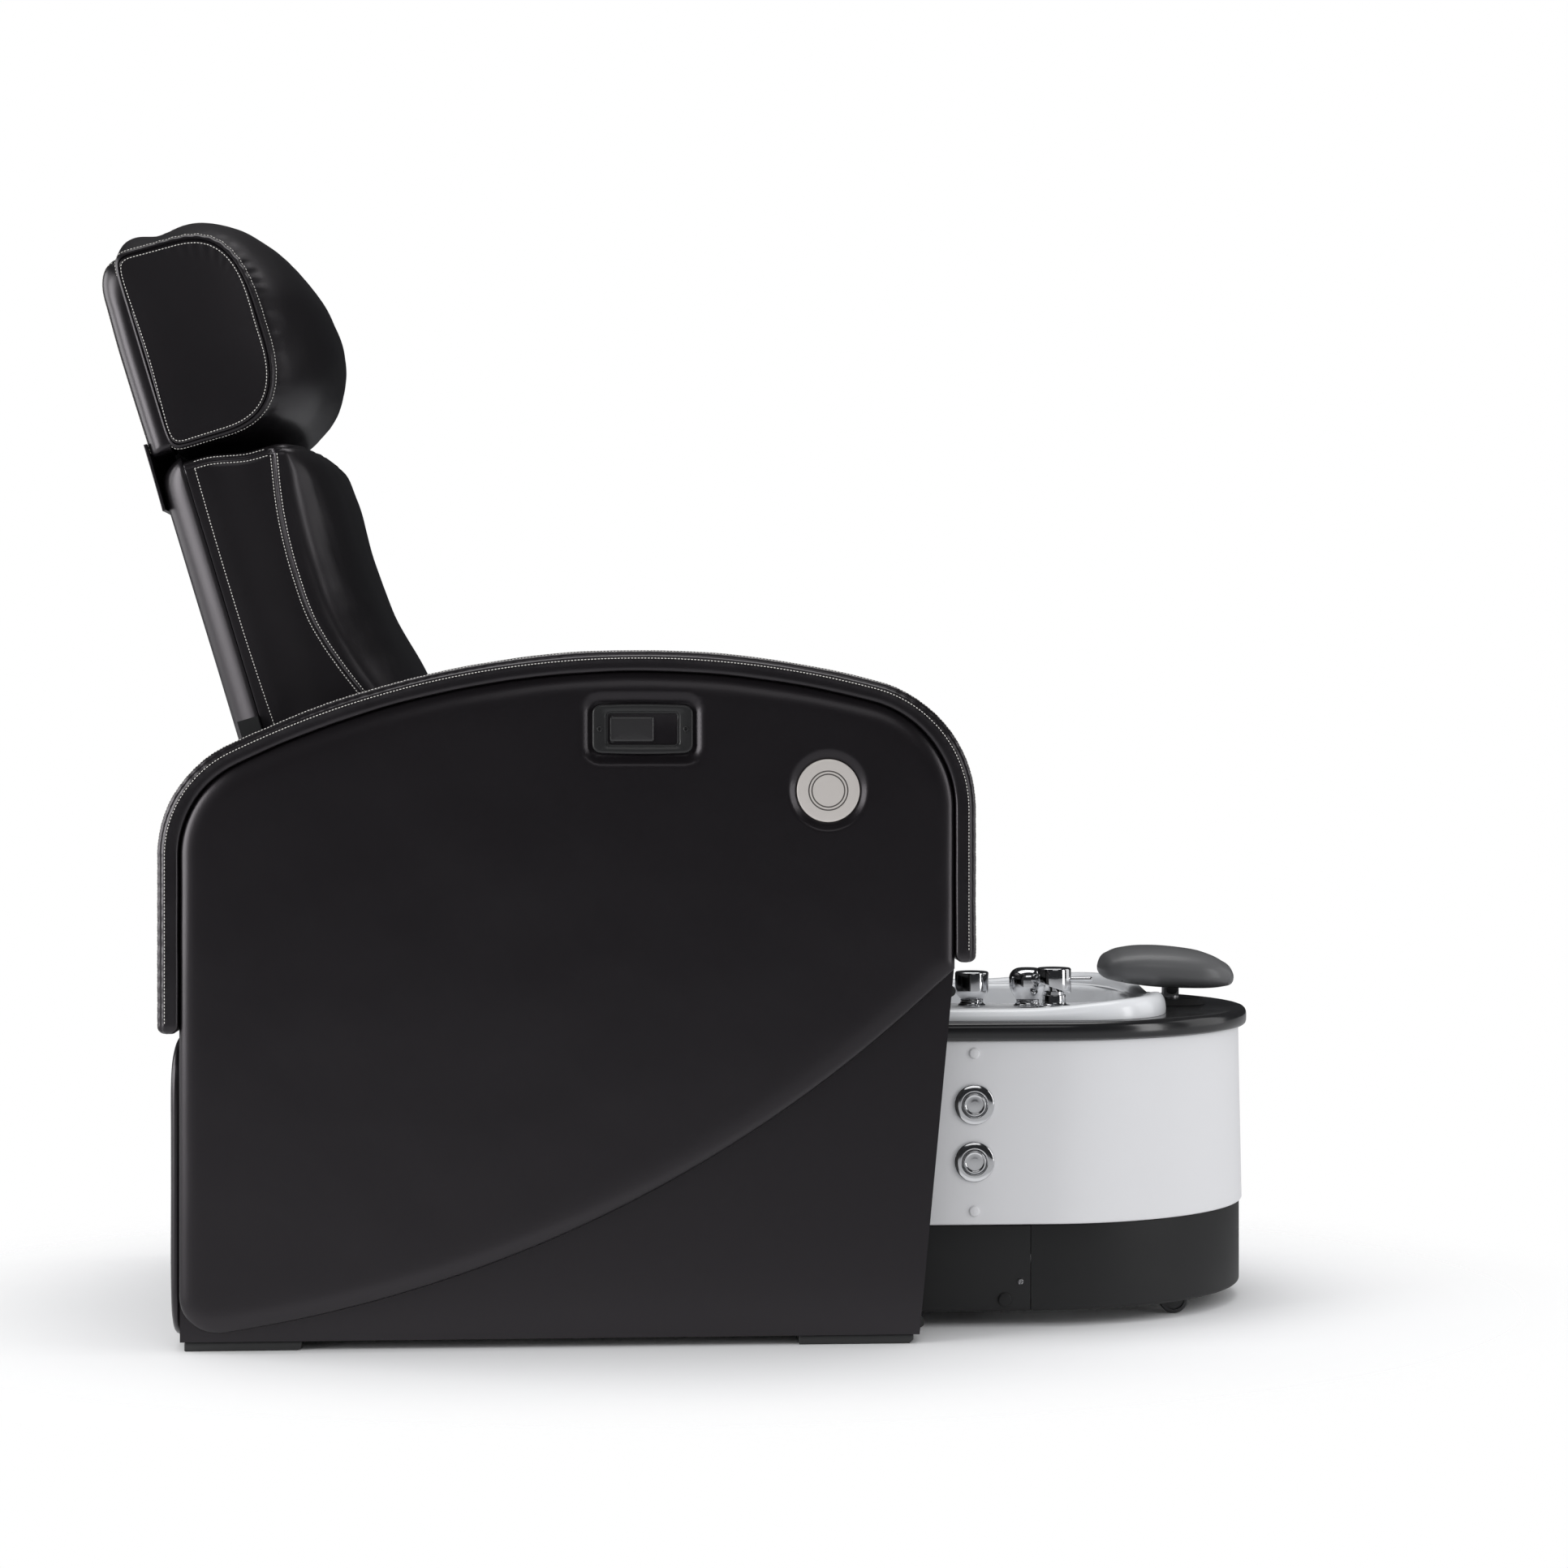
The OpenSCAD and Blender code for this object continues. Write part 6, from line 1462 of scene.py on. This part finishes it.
SPRAY_PROFILE = [(0.01, -165.0), (5.5, -165.0), (5.5, -24.2), (6.9, -24.0), (6.9, 10.4), (16.0, 10.4),
                 (21.6, 21.0), (23.6, 26.0), (24.0, 31.0),
                 *arc((10, 37), 14, 0, math.radians(88), 9).tolist(), (5.0, 51.0), (0.01, 51.0)]


def on_deck(profile, at, r, count=72):
    """Grid of an upright fitting turned on the tub's deck."""
    return turned(eased(profile, r), (*at, deck_top), "z", count)


def mixer_handle():
    """Cap of the mixer with a slanted lower edge, and its straight lever with a round tip."""
    mx, my = mixer_at
    a, b = (np.linspace(0, 2 * math.pi, count, endpoint=False) for count in (72, 24))
    slant = 4.5 - 7.0 * np.cos(a)
    cap = [np.stack([mx + r * np.cos(a), my + r * np.sin(a), deck_top + h + follow * slant], -1)
           for r, h, follow in LEVER_CAP]
    rod = [np.stack([np.full(24, mx + x), my + r * np.cos(b), deck_top + 39 + r * np.sin(b)], -1)
           for x, r in LEVER_ROD]
    return [np.array(cap), np.array(rod)]


def spout_nozzle():
    """Nozzle of the spout, drooping from its column towards the bowl."""
    x, y = spout_at
    a = np.linspace(0, 2 * math.pi, 36, endpoint=False)
    c, s = math.cos(NOZZLE_DROP), math.sin(NOZZLE_DROP)
    rows = []
    for out, r in NOZZLE:
        u, v = r * np.cos(a), r * np.sin(a)
        rows.append(np.stack([x + u, y + out * c + v * s, deck_top + 30 - out * s + v * c], -1))
    return np.array(rows)


collars = [closed_up(on_deck(COLLAR_PROFILE, at, 0.7, 64)) for at in (sprayer_at, spout_at)]
spout = [on_deck(COLUMN_PROFILE, spout_at, 1.2), spout_nozzle()]
sprayer = [on_deck(SPRAY_PROFILE, sprayer_at, 1.0)]
piece("mixer_flange", [on_deck(FLANGE_PROFILE, mixer_at, 0.9)], chrome, "tub", ["mixer_base"])
piece("mixer_lever_cap", mixer_handle(), chrome, "mixer_lever", ["mixer_handle"])
piece("deck_collar_rings", collars, chrome, "tub", ["deck_collars"], caps=False)
piece("spout_chrome", spout, chrome, "spout_arm", ["spout"])
piece("sprayer_head", sprayer, chrome, "hand_sprayer", ["sprayer"])

# %% [markdown]
# ## Latch and disc on the right arm
# The release latch is a moulded bezel with a deep cup, and a sprung paddle that a hand pulls outwards. The
# disc is a turned cover with two fine rings. Both sit in the padding, which is drawn down round them.


# %% latch bezel, paddle and disc
def plate_loop(l, h, r, y, bow=0.0, middle=latch_x, count=120):
    """Loop of a round-cornered plate on the right arm, its long sides bowed, round a middle along X."""
    ring = even(rounded_section(l, h, [r] * 4, 1.5), count, (l, h / 2)) - np.array([l / 2, h / 2])
    ring[:, 1] *= 1 - bow * (2 * ring[:, 0] / l) ** 2 / (h / 2)
    return np.column_stack([middle + ring[:, 0], np.full(count, -y), latch_z + ring[:, 1]])


BEZEL_RINGS = (
    (30, 12, 3, cup_back, 0), (cup_l + 6, cup_h + 6, 6, cup_back, 0), (cup_l + 6, cup_h + 6, 6, 384.5, 0),
    (bezel_l - 1, bezel_h - 1, 10, 384.6, 1.8), (bezel_l, bezel_h, 10, 385.2, 1.8),
    (bezel_l, bezel_h, 10, 387.2, 1.8), (bezel_l - 1.2, bezel_h - 1.2, 9.6, 388.6, 1.7),
    (bezel_l - 3.6, bezel_h - 3.6, 8.6, 389.4, 1.5), (bezel_l - 8, bezel_h - 7, 7, 389.5, 1.2),
    (cup_l + 9, cup_h + 8, 6, 389.3, 0.5), (cup_l + 6.6, cup_h + 6, 5.4, 388.6, 0.4),
    (cup_l + 5.6, cup_h + 5, 5, 387.2, 0.3), (cup_l + 1.4, cup_h + 1.2, 3.6, 386.9, 0),
    (cup_l + 0.2, cup_h + 0.2, 3.2, 386.2, 0), (cup_l, cup_h, 3, 384.0, 0), (cup_l, cup_h, 3, 369.0, 0),
    (cup_l - 4, cup_h - 4, 2, 367.0, 0), (20, 8, 2, 367.0, 0))
PADDLE_RINGS = (
    (30, 14, 3, 379.6), (50, 29, 2.5, 379.2), (54.4, 32.2, 2.4, 379.4), (55.6, 33.0, 2.4, 380.4),
    (55.6, 33.0, 2.4, 382.6), (53.6, 31.0, 2.2, 384.4), (51.4, 28.8, 1.8, 385.3), (48.0, 25.4, 1.4, 385.5),
    (6, 3, 1, 385.6))
BARREL_PROFILE = [(0.01, 746.6), (3.6, 746.6), (4.0, 747.2), (4.0, 778.8), (3.6, 779.4), (0.01, 779.4)]
DISC_PROFILE = [
    (0.01, 382.0), (37.6, 382.0), (39.0, 382.6), (39.0, 385.9), (38.6, 386.7), (37.8, 387.1), (36.4, 387.2),
    (24.9, 387.4), (24.5, 386.3), (23.6, 386.3), (23.2, 387.4), (21.1, 387.4), (20.7, 386.3), (19.8, 386.3),
    (19.4, 387.4), (10.0, 387.5), (0.01, 387.5)]
CUP_EDGE = 385.8


bezel = piece("latch_bezel_moulding", [np.array([plate_loop(*ring) for ring in BEZEL_RINGS])],
              charcoal_plastic, "chair", ["latch_bezel"])
# painted shade: faces inside the latch's cup take the near-black finish, standing in for the shade in the
# recess
second_finish(bezel, cup_painted_shade, lambda x, y, z: y > -CUP_EDGE and abs(x - latch_x) < cup_l / 2 + 0.2)
paddle = np.array([plate_loop(*ring, middle=paddle_x) for ring in PADDLE_RINGS])
barrel = turned(BARREL_PROFILE, (hinge_x, -hinge_y, 0), "z", 32)
piece("latch_paddle_moulding", [paddle, barrel], paddle_plastic, "paddle", ["latch_paddle"])
disc = piece("side_disc_turned", [turned(DISC_PROFILE, (disc_x, 0, disc_z), "-y", 128)], brushed_disc,
             "chair", ["side_disc"], sharp=30)


def in_groove(x, _, z):
    """Whether a face lies in one of the disc's two rings."""
    r = math.hypot(x - disc_x, z - disc_z)
    return 19.5 < r < 21.0 or 23.3 < r < 24.8


# painted shade: faces in the two ring grooves take a dark finish, standing in for the shade in them
second_finish(disc, disc_groove_painted_shade, in_groove)


# %% [markdown]
# ## Foot rest pad
# The foot rest is one moulded foam pad with an integral skin, swept up at its toe end and waisted below,
# where a plate in its hollow carries it on the post.


# %% foot rest pad
PAD_WIDTH = [(-1, 0.05), (-0.93, 0.42), (-0.8, 0.68), (-0.55, 0.9), (-0.2, 1), (0.2, 0.99), (0.55, 0.87),
             (0.8, 0.62), (0.93, 0.38), (1, 0.05)]


def foot_pad():
    """Grid of the pad from heel to toe: flatter below than above, and fuller below at its middle."""
    rows = []
    for u in np.sin(np.linspace(-math.pi / 2, math.pi / 2, 61)):
        s = max(0.03, float(smooth_table(u, PAD_WIDTH)))
        loop = super_loop(rest_w / 2 * s**0.6, 1.0, 2.6, 64)
        top, under = 34.5 * s, 19.0 * s**0.5 + 1.5 * (1 - u * u) ** 2
        x, mid_z = rest_x + u * rest_l / 2, rest_z - 6 * u
        rows.append([(x, y, mid_z + (top if v > 0 else under) * v) for y, v in loop])
    return slack(np.array(rows), height=0.5, size=40.0, seed=17.0)


piece("foot_rest_cushion", [foot_pad()], rest_foam, "footrest", ["footrest_pad"])

# %% [markdown]
# ## Structure that stays as built
# Frames, rails, plates and wheels keep the built solids' own form, and each takes the finish of its kind.
# The feet, the slide bars and the foot rest's plate also have their sharp edges broken by a small bevel on
# a copy of the mesh, as a real edge is filed or moulded.


# %% bevelled copies of the structure
def broken_edges(cad, body, material, width, sharp=math.radians(35)):
    """A copy of a CAD node with its edges eased by width millimetres, in the node's place."""
    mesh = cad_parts[cad].data.copy()
    work = bmesh.new()
    work.from_mesh(mesh)
    bmesh.ops.remove_doubles(work, verts=work.verts, dist=1e-6)
    bmesh.ops.dissolve_limit(work, angle_limit=math.radians(2.0), verts=work.verts, edges=work.edges)
    edges = [e for e in work.edges if len(e.link_faces) == 2 and e.calc_face_angle(0) > sharp]
    bmesh.ops.bevel(work, geom=edges, offset=width * MM, offset_type="OFFSET", segments=2, profile=0.6,
                    affect="EDGES", clamp_overlap=True)
    bmesh.ops.triangulate(work, faces=[f for f in work.faces if len(f.verts) > 4])
    bmesh.ops.recalc_face_normals(work, faces=work.faces)
    work.to_mesh(mesh)
    work.free()
    mesh.name = f"{cad}_eased"
    shaded(mesh, material, sharp)
    seated(linked(mesh.name, mesh), body, [cad])
    print(mesh.name, "-", len(mesh.polygons), "faces")


broken_edges("feet", "chair", charcoal_plastic, 1.6)
broken_edges("slide_bars", "tub", zinc, 0.8)
broken_edges("footrest_plate", "footrest", charcoal_plastic, 0.7)

# %% [markdown]
# ### Finishes on built solids
# A table says which finish each remaining node takes. A node that no piece covers and no row names would
# show up in the printed list, so that nothing stays bare by mistake.

# %% finishes on built solids
PLAIN = {
    stained_timber: ("arm_frame_left", "arm_frame_right"),
    pad_cover: ("outer_panel_left", "outer_panel_right"),
    dark_lining: ("inner_panel_left", "inner_panel_right", "rear_board", "back_board", "seat_deck"),
    painted_steel: ("cross_rails", "slide_sleeves", "back_frame", "tub_frame", "recliner_left",
                    "recliner_right", "casters"),
    rubber: ("front_bumpers", "release_cable"),
    zinc: ("latch_pin", "footrest_post"),
    wheel_plastic: ("front_wheels", "rear_wheels"),
    chrome: ("mixer_cartridge", "basin_fittings"),
    pump_plastic: ("jet_pump",),
    charcoal_plastic: ("footrest_socket",),
}
for material, cads in PLAIN.items():
    for cad in cads:
        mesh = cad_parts[cad].data
        mesh.materials.clear()
        mesh.materials.append(material)
for name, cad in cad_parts.items():
    if not cad.hide_render and not any(name in cads for cads in PLAIN.values()):
        print("no finish yet:", name)
print("finishes on", sum(map(len, PLAIN.values())), "built nodes")

# %% [markdown]
# ## Studio
# A pale floor, a bright surround and large soft lamps, as for a catalogue picture. The surround is white to
# the camera, dimmer to the object and almost dark in reflections, so black leather keeps its depth. The
# floor shows only near the object, where it takes the soft shadow, and fades into the surround.

# %% floor
FLOOR_HALF = 7.0
floor_mesh = bpy.data.meshes.new("studio_floor")
floor_mesh.from_pydata([(x * FLOOR_HALF, y * FLOOR_HALF, 0) for x, y in ((-1, -1), (1, -1), (1, 1), (-1, 1))],
                       [], [(0, 1, 2, 3)])
linked("studio_floor", floor_mesh)
floor_look = bpy.data.materials.new("pale_floor")
floor_look.use_nodes = True
tree = floor_look.node_tree
shader = set_inputs(tree.nodes["Principled BSDF"], {
    "Base Color": (0.92, 0.92, 0.92, 1.0), "Roughness": 0.6, "Specular IOR Level": 0.2})
place = node(tree, "ShaderNodeTexCoord")
oval = node(tree, "ShaderNodeVectorMath", operation="MULTIPLY", at={1: (1.0, 1.35, 1.0)})
length = node(tree, "ShaderNodeVectorMath", operation="LENGTH")
fade = node(tree, "ShaderNodeMapRange", interpolation_type="SMOOTHSTEP",
            at={"From Min": 0.68, "From Max": 1.35, "To Min": 1.0, "To Max": 0.0})
seen = node(tree, "ShaderNodeLightPath")
unseen, part = maths(tree, "SUBTRACT", at={0: 1.0}), maths(tree, "MULTIPLY", at={1: 0.5})
cover = maths(tree, "MAXIMUM")
wire(tree, (place, "Object", oval, 0), (oval, 0, length, 0), (length, "Value", fade, "Value"),
     (seen, "Is Camera Ray", unseen, 1), (unseen, 0, part, 0), (fade, "Result", cover, 0),
     (part, 0, cover, 1), (cover, 0, shader, "Alpha"))
floor_mesh.materials.append(floor_look)
print("floor", 2 * FLOOR_HALF, "m wide")

# %% [markdown]
# ### Surround
# A surround could be one colour for every ray, but then it would fog the gloss of every black piece. Light
# paths tell the camera's rays, the light on the object and its reflections apart, and each gets its own.

# %% surround
world = bpy.data.worlds.new("studio_world")
scene.world = world
world.use_nodes = True
tree = world.node_tree
tree.nodes.clear()
to_camera, to_object, to_gloss = (
    node(tree, "ShaderNodeBackground", at={"Color": (*colour, 1.0), "Strength": strength})
    for colour, strength in ((WHITE, 1.0), ((0.96, 0.97, 1.0), 0.66), ((0.9, 0.93, 1.0), 0.03)))
path = node(tree, "ShaderNodeLightPath")
mix, by_ray = node(tree, "ShaderNodeMixShader"), node(tree, "ShaderNodeMixShader")
world_out = node(tree, "ShaderNodeOutputWorld")
wire(tree, (path, "Is Glossy Ray", by_ray, "Fac"), (to_object, 0, by_ray, 1), (to_gloss, 0, by_ray, 2),
     (path, "Is Camera Ray", mix, "Fac"), (by_ray, 0, mix, 1), (to_camera, 0, mix, 2),
     (mix, 0, world_out, "Surface"))
print("surround:", len(tree.nodes), "nodes")

# %% [markdown]
# ### Lamps and camera
# Large soft boxes draw long, soft highlights along the arms' edges, one from each side and two from above.
# A long lens from far off keeps the chair's side nearly free of perspective.


# %% lamps and camera
def soft_lamp(name, at, aim, size, power):
    """Rectangular soft box that looks at a point."""
    lamp = bpy.data.lights.new(name, "AREA")
    lamp.shape, lamp.size, lamp.size_y, lamp.energy = "RECTANGLE", size[0], size[1], power
    made = linked(name, lamp)
    made.location = at
    made.rotation_euler = (Vector(aim) - Vector(at)).to_track_quat("-Z", "Y").to_euler()


soft_lamp("overhead_box", (0.1, 0.1, 3.2), (0.1, 0.0, 0.4), (3.2, 1.6), 40)
soft_lamp("front_high", (0.5, -3.6, 2.6), (0.2, -0.3, 0.4), (2.4, 1.0), 9)
soft_lamp("left_front_box", (-3.4, -1.9, 1.3), (-0.3, -0.3, 0.8), (1.4, 2.4), 70)
soft_lamp("right_front_box", (3.4, -1.9, 1.1), (0.1, -0.3, 0.7), (0.8, 2.4), 24)
soft_lamp("left_box", (-3.6, 0.3, 1.5), (-0.2, -0.1, 0.9), (1.8, 2.4), 48)
soft_lamp("right_box", (3.6, 0.3, 1.3), (0.2, -0.1, 0.6), (1.8, 2.4), 12)

YAW = math.radians(3.5)
camera = bpy.data.cameras.new("catalogue_camera")
camera.sensor_width, camera.lens, camera.shift_y = 36.0, 74.53, -0.034
eye = linked("catalogue_camera", camera)
eye.location = (-0.1362, -4.3825, 0.761)
eye.rotation_euler = (math.pi / 2, 0.0, -YAW)
scene.camera = eye
print("lens", camera.lens, "mm at", tuple(round(v, 2) for v in eye.location))
scene.view_settings.view_transform = "Standard"
